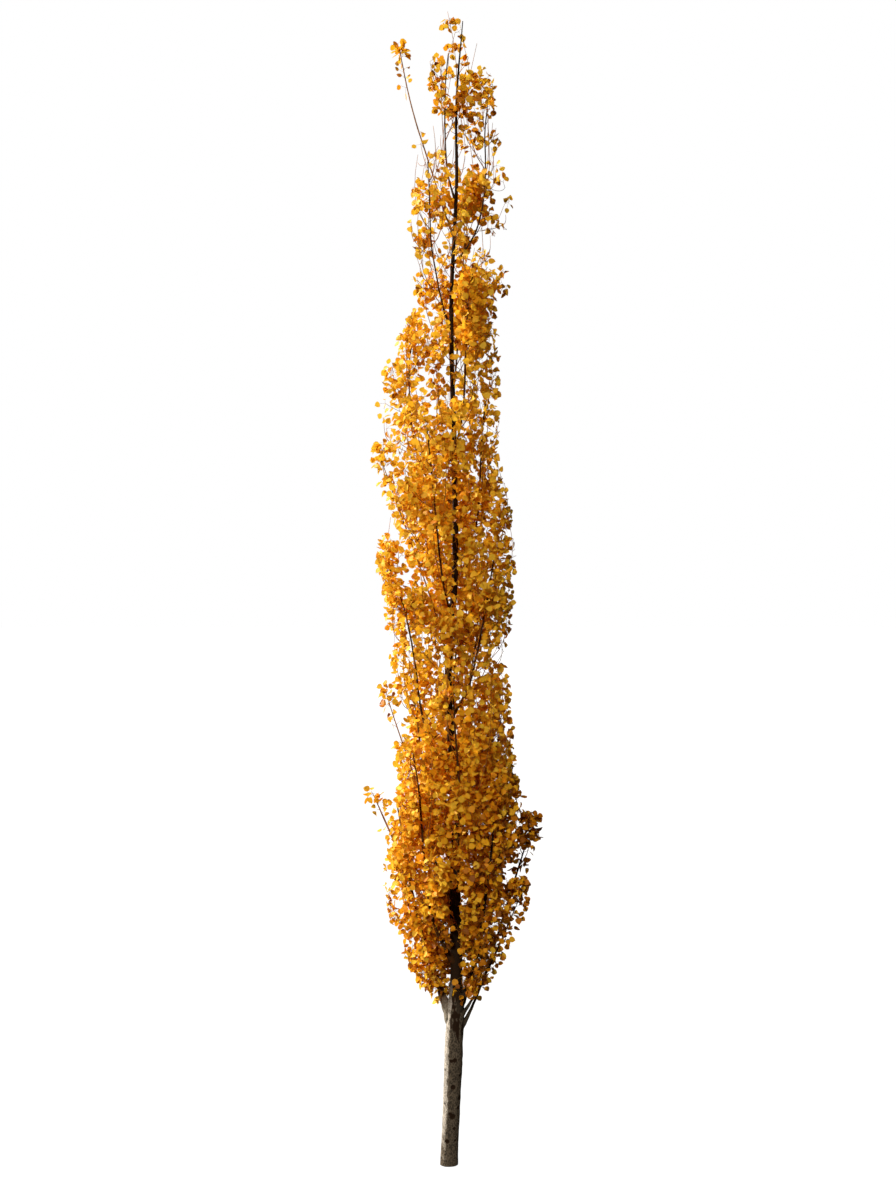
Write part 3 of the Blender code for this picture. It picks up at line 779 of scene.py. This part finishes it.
class FineGrowth:
    """Carries the coarse growth of every limb on to spurs, petioles and real leaves."""

    def __init__(self, limbs, growths, space):
        self.space = space
        self.rng = np.random.default_rng(SEED)
        self.axes = []
        self.is_shoot = space.is_shoot
        self.stem_span = np.array([(limb.stem[0].z, limb.stem[-1].z) for limb in limbs])
        habits = [habit_of(limb) for limb in limbs]
        self.shoot_fullness = np.array([(habit.foot_fullness, habit.tip_fullness) for habit in habits])
        for owner, (limb, growth) in enumerate(zip(limbs, growths)):
            if not limb.is_shoot:
                self.add_twigs(owner, growth)
                self.add_sprigs(owner, growth)
            self.add_risers(owner, limb)
            self.add_crossing_twigs(owner, limb, growth)
        self.wood = list(self.axes)
        for owner, limb in enumerate(limbs):
            path, radii = upper_limb(limb)
            self.axes.append(Axes(path[None], radii[None], owner))
        self.grow_spurs()
        self.grow_leaves()

    def add_axes(self, paths, start_radius, end_radius, owner, bare=0.0):
        """Keeps paths that thin evenly between two radii. The first may be one for each path."""
        shares = np.linspace(0, 1, PATH_STEPS)
        radii = blend(np.atleast_1d(start_radius)[:, None], end_radius, shares[None, :])
        self.axes.append(Axes(paths, np.broadcast_to(radii, paths.shape[:2]), owner, bare))

    def add_twigs(self, owner, growth):
        """Each coarse twig, bent upward, and a rising shoot that grows on from its end."""
        if not growth.twigs:
            return
        roots, ways, lengths, girths = map(np.array, zip(*growth.twigs))
        lengths = lengths[:, None]
        ends = roots + ways * lengths
        middles = (roots + ends) / 2 + (ways * (1, 1, 0) - UP * TWIG_SAG) * lengths * TWIG_BOW
        self.add_axes(bent_path(roots, middles, ends), girths * TWIG_THINNING, RISING_RADIUS, owner)
        lean = unit(ways * RISING_LEAN + UP + self.rng.normal(0, RISING_SCATTER, ways.shape))
        self.add_rising(owner, ends, ways, lean, RISING_LENGTH, RISING_RADIUS)

    def add_sprigs(self, owner, growth):
        """A sprig in place of each coarse leaf: out to its middle, then up across its blade."""
        if not growth.leaves:
            return
        places = np.array([np.array(place) for place in growth.leaves])
        root, way, face = places[:, :3, 3], places[:, :3, 0], places[:, :3, 2]
        length = np.linalg.norm(way, axis=1, keepdims=True)
        upright = UP - unit(face) * (unit(face) @ UP)[:, None]
        upright = unit(upright + unit(way) * SPRIG_LEAN)
        middle = root + way * (STALK_SHARE + SPRIG_SHARE)
        paths = bent_path(root, middle, middle + upright * length * SPRIG_SHARE)
        self.add_axes(paths, SPRIG_RADIUS, SPUR_RADIUS, owner)

    def add_risers(self, owner, limb):
        """Long thin shoots that climb beside the upper bough and the stem."""
        count = habit_of(limb).risers
        if not count:
            return
        path, _ = upper_limb(limb)
        share = np.linspace(*RISER_PLACES, count) + self.rng.uniform(*RISER_SHIFT, count)
        roots = points_along(path, np.arange(len(path)), share.clip(0, 1) * (len(path) - 1))
        around = self.rng.uniform(0, math.tau) + np.arange(count) * GOLDEN_ANGLE
        ways = np.column_stack([np.cos(around), np.sin(around), np.full(count, RISER_CLIMB)])
        out = ways * (RISER_LEAN, RISER_LEAN, 0)
        lean = unit(out + UP + self.rng.normal(0, RISER_SCATTER, ways.shape))
        self.add_rising(owner, roots, unit(ways), lean, RISER_LENGTH, RISER_RADIUS, RISER_BARE)

    def add_crossing_twigs(self, owner, limb, growth):
        """Twigs that turn inward and cross the trunk, where no limb grows in front of it."""
        for name, share, degrees, out, rise in CROSSING_TWIGS:
            if name == limb.name:
                root = np.array(growth.stem_point(share)[0])[None]
                angle = math.radians(degrees)
                sideways = np.array((math.cos(angle), math.sin(angle), 0)) * out
                middle = root + sideways * CROSSING_BEND[0] + UP * rise * CROSSING_BEND[1]
                path = bent_path(root, middle, root + sideways + UP * rise)
                self.add_axes(path, RISING_RADIUS, SPUR_RADIUS, owner)

    def add_rising(self, owner, roots, ways, lean, length, radius, bare=0.0):
        """Shoots that leave these roots one way and bend upright, each cut where its space ends."""
        rise = self.rng.uniform(*length, (len(roots), 1))
        paths = bent_path(roots, roots + ways * rise * RISING_BEND, roots + lean * rise)
        fits = self.space.allows(paths.reshape(-1, 3), np.full(len(roots) * PATH_STEPS, owner))
        fits = fits.reshape(-1, PATH_STEPS)
        fits[:, :2] = True
        rise *= (np.cumprod(fits, axis=1).sum(1)[:, None] - 1) / (PATH_STEPS - 1)
        paths = bent_path(roots, roots + ways * rise * RISING_BEND, roots + lean * rise)
        long_enough = rise[:, 0] > LEAST_SHOOT
        if long_enough.any():
            self.add_axes(paths[long_enough], radius, SPUR_RADIUS, owner, bare)

    def grow_spurs(self):
        """Short spurs leave every axis in a spiral. Each has the spray and the owner of its axis."""
        rows = [row for axes in self.axes for row in self.spur_places(axes)]
        self.sprays = len(rows)
        sprays = np.repeat(np.arange(self.sprays), [len(row[0]) for row in rows])
        starts, ways, owners, at_tip = map(np.concatenate, zip(*rows))
        leafy = self.leafy(starts, owners)
        tip_share = np.interp(starts[:, 2], *FULLNESS.T) + TIP_BONUS + self.is_shoot[owners]
        leafy |= at_tip & (self.rng.uniform(0, 1, len(starts)) < tip_share)
        starts, ways, owners, sprays = starts[leafy], ways[leafy], owners[leafy], sprays[leafy]
        count = len(starts)
        around = np.arange(count) * GOLDEN_ANGLE + self.rng.normal(0, SPUR_TURNING, count)
        spread = SPUR_SPREAD * self.rng.uniform(*SPUR_SPREADING, count)
        self.spur_way = unit(swung(ways, around, spread) + UP * SPUR_LIFT)
        length = self.rng.uniform(*SPUR_LENGTH, count)
        self.spur_start = starts
        self.spur_end = starts + self.spur_way * length[:, None]
        self.spur_owner, self.spur_spray = owners, sprays

    def spur_places(self, axes):
        """For each path: the points and directions of its spurs, their owner, and which are at its tip."""
        runs = np.linalg.norm(np.diff(axes.paths, axis=1), axis=2)
        for path, run in zip(axes.paths, runs):
            marks = np.concatenate([[0], np.cumsum(run)])
            length = marks[-1]
            count = max(1, round(length / SPUR_SPACING))
            at = (np.arange(count) + self.rng.uniform(*SPUR_PLACES, count)) / count
            at = blend(axes.bare, 1, at) * length
            near_tip = length - self.rng.uniform(0, TIP_CLUSTER, TIP_SPURS * self.is_shoot[axes.owner])
            at = np.concatenate([at, near_tip, [length]])
            ways = points_along(path, marks, at + HALF_STEP) - points_along(path, marks, at - HALF_STEP)
            owners = np.full(len(at), axes.owner)
            yield points_along(path, marks, at), unit(ways), owners, np.arange(len(at)) >= count

    def leafy(self, points, owners):
        """Which spurs carry leaves: the share for their height or their shoot, in clumps with gaps."""
        full = np.interp(points[:, 2], *FULLNESS.T)
        share = self.stem_share(points, owners)
        of_shoot = blend(*self.shoot_fullness[owners].T, share**2)
        full = np.where(self.is_shoot[owners], of_shoot, full)
        full = full + CLUMPING * (FULLEST - full) * ripple(points, "clumps")
        return self.rng.uniform(0, 1, len(points)) < full

    def stem_share(self, points, owners):
        """How far up its owner's stem each point lies, from 0 at the join to 1 at the tip."""
        low, high = self.stem_span[owners].T
        return ((points[:, 2] - low) / (high - low)).clip(0, 1)

    def fan_numbers(self):
        """How many leaves are tried on each spur: half as many along the open shoots."""
        least = blend(*LEAST_IN_FAN, self.spur_end[:, 2] / TREE_HEIGHT)
        number = np.floor(least + self.rng.uniform(0, FAN_VARIATION, len(least))).astype(int)
        below_tip = self.stem_share(self.spur_end, self.spur_owner) < SHOOT_TIP
        sparse = (self.shoot_fullness[self.spur_owner, 0] < OPEN_SHOOT) & below_tip
        return np.where(sparse, (number + 1) // 2, number)

    def grow_leaves(self):
        """A fan of leaves on petioles at the end of each spur, each turned until it fits."""
        number = self.fan_numbers()
        spur = np.repeat(np.arange(len(number)), number)
        total = len(spur)
        place_in_fan = np.arange(total) - (np.cumsum(number) - number)[spur]
        owner, root = self.spur_owner[spur], self.spur_end[spur]
        petiole = self.rng.uniform(*PETIOLE_LENGTH, total)
        size = blend(*BLADE_LENGTH, root[:, 2] / TREE_HEIGHT)
        size *= self.rng.normal(1, BLADE_VARIATION, total).clip(*BLADE_LIMITS)
        first_turn = self.rng.uniform(0, math.tau, len(number))[spur]
        around = place_in_fan * math.tau / number[spur] + first_turn
        spread = PETIOLE_SPREAD * self.rng.uniform(*PETIOLE_SPREADING, total)
        stalk = swung(self.spur_way[spur], around, spread)
        kept = np.zeros(total, bool)
        found = np.zeros((3, total, 3))
        for swing in PETIOLE_SWINGS:
            left = np.flatnonzero(~kept)
            tried = (root[left], stalk[left], petiole[left, None], size[left, None])
            fits, leaves = self.try_leaves(*tried, owner[left], swing)
            kept[left[fits]] = True
            found[:, left[fits]] = leaves[:, fits]
        self.leaf_base, self.leaf_way, self.leaf_face = found[:, kept]
        self.leaf_root, self.leaf_size = root[kept], size[kept]
        self.leaf_spray = self.spur_spray[spur][kept]
        self.leaf_on_shoot = self.is_shoot[owner][kept]
        bearing = np.unique(spur[kept])
        self.spur_start, self.spur_end = self.spur_start[bearing], self.spur_end[bearing]

    def try_leaves(self, root, stalk, petiole, size, owner, swing):
        """Which leaves fit with their petioles swung this far off, and their bases, directions and faces."""
        if swing:
            around = self.rng.uniform(0, math.tau, len(root))
            stalk = swung(stalk, around, np.full(len(root), swing))
        stalk = unit(stalk - UP * PETIOLE_SAG)
        base = root + stalk * petiole
        way = unit(stalk + self.rng.normal(0, BLADE_SCATTER, root.shape) - UP * BLADE_SAG)
        out = base - np.column_stack([smooth(TRUNK, base[:, 2])[:, :2], base[:, 2]])
        face = unit(out) + self.rng.normal(0, FACE_TURNS, root.shape)
        fits = [self.space.allows(base + way * size * share, owner) for share in BLADE_TESTS]
        return np.all(fits, axis=0), np.array([base, way, face])

    def leaf_tints(self):
        """The number of each leaf's tint, dealt by spray with some leaves off it. Leaves are darker at the
        foot, at the top, to the right, deep inside and on shoots, and brighter at mid height. The darkening
        at the foot, to the right and deep inside is painted shade of the crown."""
        of_sprays = self.rng.normal(0, SPRAY_VARIATION, self.sprays)
        height = self.leaf_base[:, 2]
        x, y = (self.leaf_base[:, :2] - smooth(TRUNK, height)[:, :2]).T
        depth = 1 - np.hypot(x, y) / reach(height, np.arctan2(y, x))
        low = (1 - height / LOW_TOP).clip(0)
        mid = np.exp(-(((height - MID_HEIGHT) / MID_SPAN) ** 2))
        own = self.rng.normal(0, LEAF_VARIATION, len(x))
        everywhere, across_crown, right_only = LOW_DARKER
        # Painted shade: darker tints to the right, at the foot and deep inside the crown
        level = MEAN_TINT + DARKER_TO_RIGHT * x
        level += (everywhere + across_crown * x + right_only * x.clip(0)) * low
        level += HIGH_DARKER * (height - HIGH_FOOT).clip(0)
        level -= (MID_BRIGHTER[0] + MID_BRIGHTER[1] * x) * mid
        level += SHADE_DARKER * (depth - SHADE_DEPTH).clip(0)
        level += SHOOT_DARKER * self.leaf_on_shoot + of_sprays[self.leaf_spray] + own
        return np.clip(np.round(level), 0, len(TINTS) - 1).astype(int)


def tube_faces(rings, sides):
    """Triangles of a closed tube whose rings follow one another in the list of points."""
    faces = []
    for r in range(rings - 1):
        for s in range(sides):
            a, b = r * sides + s, r * sides + (s + 1) % sides
            faces += [(a, b, b + sides), (a, b + sides, a + sides)]
    last = (rings - 1) * sides
    for s in range(1, sides - 1):
        faces += [(0, s + 1, s), (last, last + s, last + s + 1)]
    return np.array(faces)


def tubes(paths, radii, sides):
    """Points and triangles of tubes along these paths. Radii are per ring, or per point of each ring."""
    ways = unit(np.gradient(paths, axis=1))
    whole = unit(paths[:, -1] - paths[:, 0])
    side = across(whole)[:, None]
    side = unit(side - ways * (side * ways).sum(-1, keepdims=True))
    up = np.cross(ways, side)
    turns = np.linspace(0, math.tau, sides, endpoint=False)
    cos, sin = np.cos(turns)[:, None], np.sin(turns)[:, None]
    ring = side[:, :, None] * cos + up[:, :, None] * sin
    if radii.ndim == 2:
        radii = radii[..., None]
    points = paths[:, :, None] + ring * radii[..., None]
    return copies(points.reshape(len(paths), -1, 3), tube_faces(paths.shape[1], sides))


def joined(meshes):
    """Several (points, faces) as one."""
    points, faces, first = [], [], 0
    for p, f in meshes:
        points.append(p)
        faces.append(f + first)
        first += len(p)
    return np.concatenate(points), np.concatenate(faces)


def copies(points, faces):
    """Several meshes with the same triangles as one. Each row holds the points of one of them."""
    first = np.arange(len(points))[:, None, None] * points.shape[1]
    return points.reshape(-1, 3), (faces + first).reshape(-1, 3)


def add_object(name, data):
    made = bpy.data.objects.new(name, data)
    bpy.context.scene.collection.objects.link(made)
    return made


def piece(name, mesh, look, slot, nodes):
    """A smooth object on the tree's body, made from points and triangles, in place of these nodes."""
    points, faces = mesh
    data = bpy.data.meshes.new(name)
    data.from_pydata(points, [], faces)
    data.shade_smooth()
    data.materials.append(look)
    made = add_object(name, data)
    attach(made, "root")
    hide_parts(*nodes)
    return made


def leaf_shape():
    """One real leaf, 1 long along +X and nearly round, with a short point, a fold and a slight curl."""
    along = np.array((0.06, 0.24, 0.50, 0.76, 0.93))
    half = 0.49 * np.sin(np.pi * along**0.74) ** 0.66
    half[-1] *= 0.62
    droop = -0.10 * along**2
    rows = [(0, 0, 0)]
    for x, h, z in zip(along, half, droop):
        rows += [(x, -h, z + 0.27 * h), (x, 0, z), (x, h, z + 0.33 * h)]
    rows.append((1, 0, -0.11))
    faces = [(0, 2, 1), (0, 3, 2)]
    for k in range(len(along) - 1):
        a = 1 + 3 * k
        for b in (a, a + 1):
            faces += [(b, b + 1, b + 4), (b, b + 4, b + 3)]
    tip, a = len(rows) - 1, 1 + 3 * (len(along) - 1)
    faces += [(a, a + 1, tip), (a + 1, a + 2, tip)]
    return np.array(rows, float), np.array(faces)


def placed_leaves(base, way, face, size, bend):
    """Points and triangles of real leaves. Bend is how far each one's fold and curl are carried."""
    shape, faces = leaf_shape()
    side = unit(np.cross(face, way))
    up = np.cross(way, side)
    local = np.repeat(shape[None], len(base), axis=0)
    local[:, :, 2] *= bend[:, None]
    points = base[:, None] + local @ (np.stack([way, side, up], axis=1) * size[:, None, None])
    return copies(points, faces)


def ripple(points, name, shift=0):
    """A smooth wandering value near -1 to 1 at each point."""
    stretch, length, seed = RIPPLES[name]
    rng = np.random.default_rng(seed)
    waves = unit(rng.normal(size=(9, 3))) * math.tau / (length * rng.uniform(0.7, 1.5, (9, 1)))
    return np.sin((points * stretch + shift) @ waves.T + rng.uniform(0, math.tau, 9)).sum(-1) / 4


def limb_path(points, radii, spacing):
    """Evenly spaced points and radii on a smooth curve through these points."""
    points, radii = np.array(points), np.array(radii)
    along = np.concatenate([[0], np.cumsum(np.linalg.norm(np.diff(points, axis=0), axis=1))])
    table = np.column_stack([along, points, radii])
    rows = smooth(table, np.linspace(0, along[-1], math.ceil(along[-1] / spacing) + 1))
    return rows[:, :3], rows[:, 3]


def shade(colour, share):
    return tuple(c * share for c in colour)


class Nodes:
    """The nodes of a material or of the world, with short ways to fill and add them."""

    def __init__(self, owner):
        owner.use_nodes = True
        self.nodes, self.links = owner.node_tree.nodes, owner.node_tree.links

    def fill(self, node, inputs):
        """Sets inputs of a node, each to another node's output, a number or a plain colour."""
        for key, value in inputs.items():
            socket = node.inputs[key]
            if isinstance(value, bpy.types.NodeSocket):
                self.links.new(value, socket)
            else:
                socket.default_value = (*value, 1) if socket.type == "RGBA" else value
        return node

    def add(self, kind, inputs=None):
        return self.fill(self.nodes.new("ShaderNode" + kind), inputs or {})


class Look(Nodes):
    """A material with one Principled BSDF, its patterns, masks and bump."""

    def __init__(self, name, roughness, specular=SPECULAR):
        self.material = bpy.data.materials.new(name)
        super().__init__(self.material)
        self.shader = self.nodes["Principled BSDF"]
        self.fill(self.shader, {"Roughness": roughness, "Specular IOR Level": specular})

    def place(self):
        return self.add("TexCoord").outputs["Object"]

    def noise(self, scale, detail=2, stretch=(1, 1, 1)):
        where = self.add("Mapping", {"Scale": stretch, "Vector": self.place()}).outputs["Vector"]
        return self.add("TexNoise", {"Scale": scale, "Detail": detail, "Vector": where}).outputs["Fac"]

    def ramp(self, value, low, high):
        """A share that comes in evenly between these two values."""
        return self.add("MapRange", {"From Min": low, "From Max": high, "Value": value}).outputs["Result"]

    def pattern(self, scale, detail, stretch, low, high):
        return self.ramp(self.noise(scale, detail, stretch), low, high)

    def mask(self, name):
        """A mask that set_mask keeps on the mesh."""
        made = self.nodes.new("ShaderNodeAttribute")
        made.attribute_name = name
        return made.outputs["Fac"]

    def mixed(self, share, first, second):
        """A colour between two others, each a plain one or another node's."""
        made = self.nodes.new("ShaderNodeMix")
        made.data_type = "RGBA"
        return self.fill(made, {"Factor": share, 6: first, 7: second}).outputs[2]

    def bump(self, height, strength, distance):
        made = self.add("Bump", {"Strength": strength, "Distance": distance, "Height": height})
        self.fill(self.shader, {"Normal": made.outputs["Normal"]})


def bark_look(name, has_masks=False):
    """Bark with cloudy patches and fine grain. With masks it also has pores, a side darkened as painted
    shade with random patches, and a dark mask for knots, creases and painted shade under the crown.
    """
    pale, deep, heights = BARKS[name]
    look = Look(name, BARK_ROUGHNESS)
    grain = look.pattern(*GRAIN)
    colour = look.mixed(look.pattern(*CLOUDS), pale, shade(pale, CLOUD_SHADE))
    colour = look.mixed(grain, colour, shade(pale, GRAIN_SHADE))
    if has_masks:
        # Painted shade: the side away from the sun, with random patches, turns to the speckled dark bark
        speckled = look.mixed(grain, *(shade(SHADE_AND_PATCH_BARK, share) for share in SPECKLE_SHADES))
        colour = look.mixed(look.mask("painted_shade_and_patches"), colour, speckled)
        colour = look.mixed(look.pattern(*PORES), colour, deep)
        # The dark mask holds real knots and also painted shade: the crotch creases and the shaded side under
        # the crown
        colour = look.mixed(look.ramp(look.mask("dark"), *DARK_EDGE), colour, deep)
    # Higher up the bark turns to its deep colour: partly darker bark, partly painted shade of the crown
    height = look.add("SeparateXYZ", {"Vector": look.place()}).outputs["Z"]
    colour = look.mixed(look.ramp(height, *heights), colour, deep)
    look.fill(look.shader, {"Base Color": colour})
    look.bump(grain, *BARK_BUMP)
    return look.material


def twig_look(name, colour):
    """Smooth young bark with a little grain."""
    look = Look(name, TWIG_ROUGHNESS)
    tone = look.mixed(look.noise(TWIG_GRAIN), *(shade(colour, share) for share in TWIG_SHADES))
    look.fill(look.shader, {"Base Color": tone})
    return look.material


def leaf_look(name, colour):
    """A thin leaf that the light comes through: one plain colour, with veins in the bump."""
    look = Look(name, LEAF_ROUGHNESS)
    look.fill(look.shader, {"Base Color": colour})
    through = look.add("BsdfTranslucent", {"Color": colour})
    both = {"Fac": GLOW, 1: look.shader.outputs["BSDF"], 2: through.outputs["BSDF"]}
    look.fill(look.nodes["Material Output"], {"Surface": look.add("MixShader", both).outputs["Shader"]})
    look.bump(look.noise(VEIN_SIZE), *VEIN_BUMP)
    return look.material


def set_mask(obj, name, values):
    made = obj.data.attributes.new(name, "FLOAT", "POINT")
    made.data.foreach_set("value", np.ascontiguousarray(values, np.float32))


def uneven(points, relief):
    """The share of its radius by which a skin swells at each point."""
    return sum(share * ripple(points, name) for name, share in relief.items())


def on_trunk(height, degrees):
    """A point of the trunk's skin, this far round from the front towards the right."""
    angle = math.radians(degrees - 90)
    way = Vector((math.cos(angle), math.sin(angle), 0))
    return np.array(trunk_at(height) + way * trunk_radius(height))


def add_knots(skin, radius, dark):
    """Dark dents with a raised rim, in their places in front and by chance on the back."""
    rng = np.random.default_rng(SEED + 1)
    back = [[rng.uniform(*span) for span in BACK_KNOT_SPANS] for _ in range(BACK_KNOTS)]
    ragged = 1 + KNOT_RAGGEDNESS * ripple(skin, "knots")
    rim_radius, rim_width = KNOT_RIM_SIZES
    for height, degrees, size in (*KNOTS, *back):
        away = skin - on_trunk(height, degrees)
        near = np.exp(-(((away**2).sum(1)) / size**2) ** 2)
        off_rim = np.linalg.norm(away, axis=1) - size * rim_radius
        rim = np.exp(-(off_rim**2) / (size * rim_width) ** 2)
        radius += KNOT_RIM * rim - KNOT_DEPTH * near
        np.maximum(dark, near * ragged, out=dark)


def add_creases(skin, radius, dark):
    """Folds of bark at the fork, dented and darkened: partly dark furrowed bark, partly painted shade in the
    crotch.
    """
    ragged = 1 + CREASE_RAGGEDNESS * ripple(skin, "creases")
    for height, degrees, width, rise in CREASES:
        away = (skin - on_trunk(height, degrees)) / (width, width, rise)
        crease = np.exp(-((away**2).sum(1)) ** 1.5)
        radius -= CREASE_DEPTH * crease
        np.maximum(dark, crease * ragged, out=dark)


def add_collars(skin, radius, limbs):
    """The trunk swells round the foot of each limb."""
    for limb in limbs:
        root, after = np.array(limb.bough[:2])
        way = unit(after - root)
        out = unit(way * (1, 1, 0))
        thick = trunk_radius(root[2])
        rise = thick * way[2] / max(0.2, np.linalg.norm(way[:2]))
        away = skin - (root + out * thick + UP * rise)
        girth = limb.bough_radii[0]
        swell = np.exp(-((away * (1, 1, 0.7)) ** 2).sum(1) / (COLLAR_REACH * girth) ** 2)
        radius += COLLAR_SWELL * girth * swell


def shade_and_patch_mask(skin, facing):
    """How far the bark turns to its dark grey colour: painted shade on the side away from the sun,
    random patches, and darker near the ground.
    """
    patches = PATCHINESS * ripple(skin, "patches")
    dark_foot = FOOT_DARKENING * np.exp(-((skin[:, 2] / DARK_FOOT_HEIGHT) ** 2)) + patches / 2
    return np.maximum(0.5 + PAINTED_SHADE_SLOPE * (facing - PAINTED_SHADE_FROM) + patches, dark_foot).clip(0, MOST_SHADE_AND_PATCHES)


def make_trunk(limbs, look):
    """The trunk: cut flat at the ground, with knots, collars at the forks and uneven bark."""
    low = np.arange(0, KNOTTY_HEIGHT, KNOTTY_SPACING)
    high = np.arange(KNOTTY_HEIGHT, TREE_HEIGHT, TRUNK_SPACING)
    heights = np.concatenate([low, high, [TREE_HEIGHT]])
    rows = smooth(TRUNK, heights)
    turns = np.linspace(0, math.tau, TRUNK_SIDES, endpoint=False)
    ring = np.column_stack([np.cos(turns), np.sin(turns), np.zeros(TRUNK_SIDES)])
    axis = np.repeat(np.column_stack([rows[:, :2], heights]), TRUNK_SIDES, axis=0)
    ways = np.tile(ring, (len(heights), 1))
    radius = np.repeat(rows[:, 2], TRUNK_SIDES)
    skin = axis + ways * radius[:, None]
    radius *= 1 + uneven(skin, TRUNK_RELIEF)
    dark = np.zeros(len(skin))
    add_knots(skin, radius, dark)
    add_creases(skin, radius, dark)
    add_collars(skin, radius, limbs)
    # Painted shade: the side away from the sun, with random patches and a darker foot, is mixed towards the
    # dark bark
    shade_and_patches = shade_and_patch_mask(skin, np.tile(np.cos(turns - PAINTED_SHADE_SIDE), len(heights)))
    # Painted shade of the crown: from the fork up the shaded side turns dark, with a ragged lower edge
    ragged = CROWN_SHADE_LENGTH * ripple(skin, "crown_shade")
    crown_shade = (skin[:, 2] - CROWN_SHADE_FOOT + ragged) / CROWN_SHADE_LENGTH
    dark = np.maximum(dark, crown_shade.clip(0, 1) * shade_and_patches)
    mesh = (axis + ways * radius[:, None], tube_faces(len(heights), TRUNK_SIDES))
    trunk = piece("trunk_bark", mesh, look, "trunk_bark", ["trunk"])
    set_mask(trunk, "dark", dark)
    set_mask(trunk, "painted_shade_and_patches", shade_and_patches)


def make_limb(limb, look):
    """A bough and its stem in one curve, with a swollen foot at the trunk and uneven bark."""
    points = limb.bough + limb.stem[1:]
    radii = limb.bough_radii + limb.stem_radii[1:]
    path, radius = limb_path(points, radii, LIMB_SPACING)
    axis = smooth(TRUNK, path[:, 2])
    out = np.hypot(*(path[:, :2] - axis[:, :2]).T) - axis[:, 2]
    kept = np.flatnonzero(out > -0.7 * axis[:, 2])[0]
    path, radius, out = path[kept:], radius[kept:] * habit_of(limb).girth, out[kept:]
    foot = 1 + FOOT_SWELL * np.exp(-((out.clip(0) / (FOOT_REACH * radius[0])) ** 2))
    radius = np.repeat((radius * foot)[:, None], LIMB_SIDES, axis=1)
    skin, _ = tubes(path[None], radius[None], LIMB_SIDES)
    radius = radius * (1 + uneven(skin, LIMB_RELIEF).reshape(radius.shape))
    mesh = tubes(path[None], radius[None], LIMB_SIDES)
    piece("limb_" + limb.name, mesh, look, "bough_bark", ["bough_" + limb.name])


def make_limbs(limbs):
    """Every limb in its bark: dark at the right of the fork, as painted shade, and brown on the shoots above
    it.
    """
    looks = {name: bark_look(name) for name in ("limb_bark", "fork_bark", "shoot_bark")}
    for limb in limbs:
        name = "limb_bark"
        if limb.bough[0].z > FORK_TOP and limb.is_shoot:
            name = "shoot_bark"
        # Painted shade: limbs that leave the fork to the right take the dark bark
        elif limb.bough[0].z < FORK_TOP and limb.bough[-1].x > 0:
            name = "fork_bark"
        make_limb(limb, looks[name])


def make_foliage(fine, nodes):
    """The twigs, spurs and petioles, and the leaves of each tint, in place of the masses."""
    twigs = joined([tubes(axes.paths, axes.radii, TWIG_SIDES) for axes in fine.wood])
    piece("twigs", twigs, twig_look("twig_bark", TWIG_BARK), "bough_bark", nodes)
    paths = np.stack([fine.spur_start, fine.spur_end], axis=1)
    radii = np.broadcast_to([SPUR_RADIUS * taper for taper in SPUR_TAPER], paths.shape[:2])
    spurs = tubes(paths, radii, SPUR_SIDES)
    piece("spurs", spurs, twig_look("spur_bark", TWIG_BARK), "bough_bark", nodes)
    paths = np.stack([fine.leaf_root, fine.leaf_base], axis=1)
    petioles = tubes(paths, np.full(paths.shape[:2], PETIOLE_RADIUS), PETIOLE_SIDES)
    piece("petioles", petioles, leaf_look("petiole_gold", PETIOLE_GOLD), "gold_leaf", nodes)
    tints = fine.leaf_tints()
    curl = fine.rng.uniform(*BLADE_CURL, len(tints))
    for number, (name, (colour, slot)) in enumerate(TINTS.items()):
        rows = (fine.leaf_base, fine.leaf_way, fine.leaf_face, fine.leaf_size, curl)
        leaves = placed_leaves(*(row[tints == number] for row in rows))
        piece("leaves_" + name, leaves, leaf_look(name, colour), slot, nodes)


def make_camera():
    camera = bpy.data.cameras.new("camera")
    camera.lens = CAMERA_LENS
    camera.clip_end = 200
    eye = add_object("camera", camera)
    eye.location = CAMERA_PLACE
    eye.rotation_euler = (math.pi / 2, 0, 0)
    bpy.context.scene.camera = eye


def make_light():
    """A sun from the left, a weaker light in front and a dim even fill. The camera sees a white world."""
    for name, way, energy, width in LIGHTS:
        light = bpy.data.lights.new(name, "SUN")
        light.energy = energy
        light.angle = math.radians(width)
        light.color = LIGHT_COLOUR
        lamp = add_object(name, light)
        lamp.rotation_euler = Vector(way).to_track_quat("Z", "Y").to_euler()
    bpy.context.scene.world = bpy.data.worlds.new("studio")
    world = Nodes(bpy.context.scene.world)
    fill = world.fill(world.nodes["Background"], {"Color": FILL_COLOUR, "Strength": FILL})
    white = world.add("Background", {"Color": WHITE})
    seen = world.add("LightPath").outputs["Is Camera Ray"]
    both = {"Fac": seen, 1: fill.outputs["Background"], 2: white.outputs["Background"]}
    world.fill(world.nodes["World Output"], {"Surface": world.add("MixShader", both).outputs["Shader"]})


def make_floor():
    """A plain pale floor under the tree."""
    look = Look("pale_floor", 1, FLOOR_SPECULAR)
    glow = {"Emission Color": WHITE, "Emission Strength": FLOOR_GLOW}
    look.fill(look.shader, {"Base Color": FLOOR_COLOUR, **glow})
    bpy.ops.mesh.primitive_plane_add(size=400, location=(0, 0, -0.001))
    floor = bpy.context.object
    floor.name = "floor"
    floor.data.materials.append(look.material)
    floor.visible_diffuse = False
    floor.visible_glossy = False
    floor.visible_transmission = False
    floor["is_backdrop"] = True


def main():
    make_camera()
    make_light()
    make_floor()
    limbs = planned_limbs()
    space = Space(limbs)
    growths = [Growth(limb, owner, space) for owner, limb in enumerate(limbs)]
    fine = FineGrowth(limbs, growths, space)
    make_trunk(limbs, bark_look("trunk_bark", has_masks=True))
    make_limbs(limbs)
    make_foliage(fine, ["foliage_" + limb.name for limb in limbs])


main()
bpy.context.scene.view_settings.view_transform = "Standard"
sizes = {"cad": cad_box, "visual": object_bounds()}
{k: [list(map(float, corner)) for corner in box] for k, box in sizes.items()}
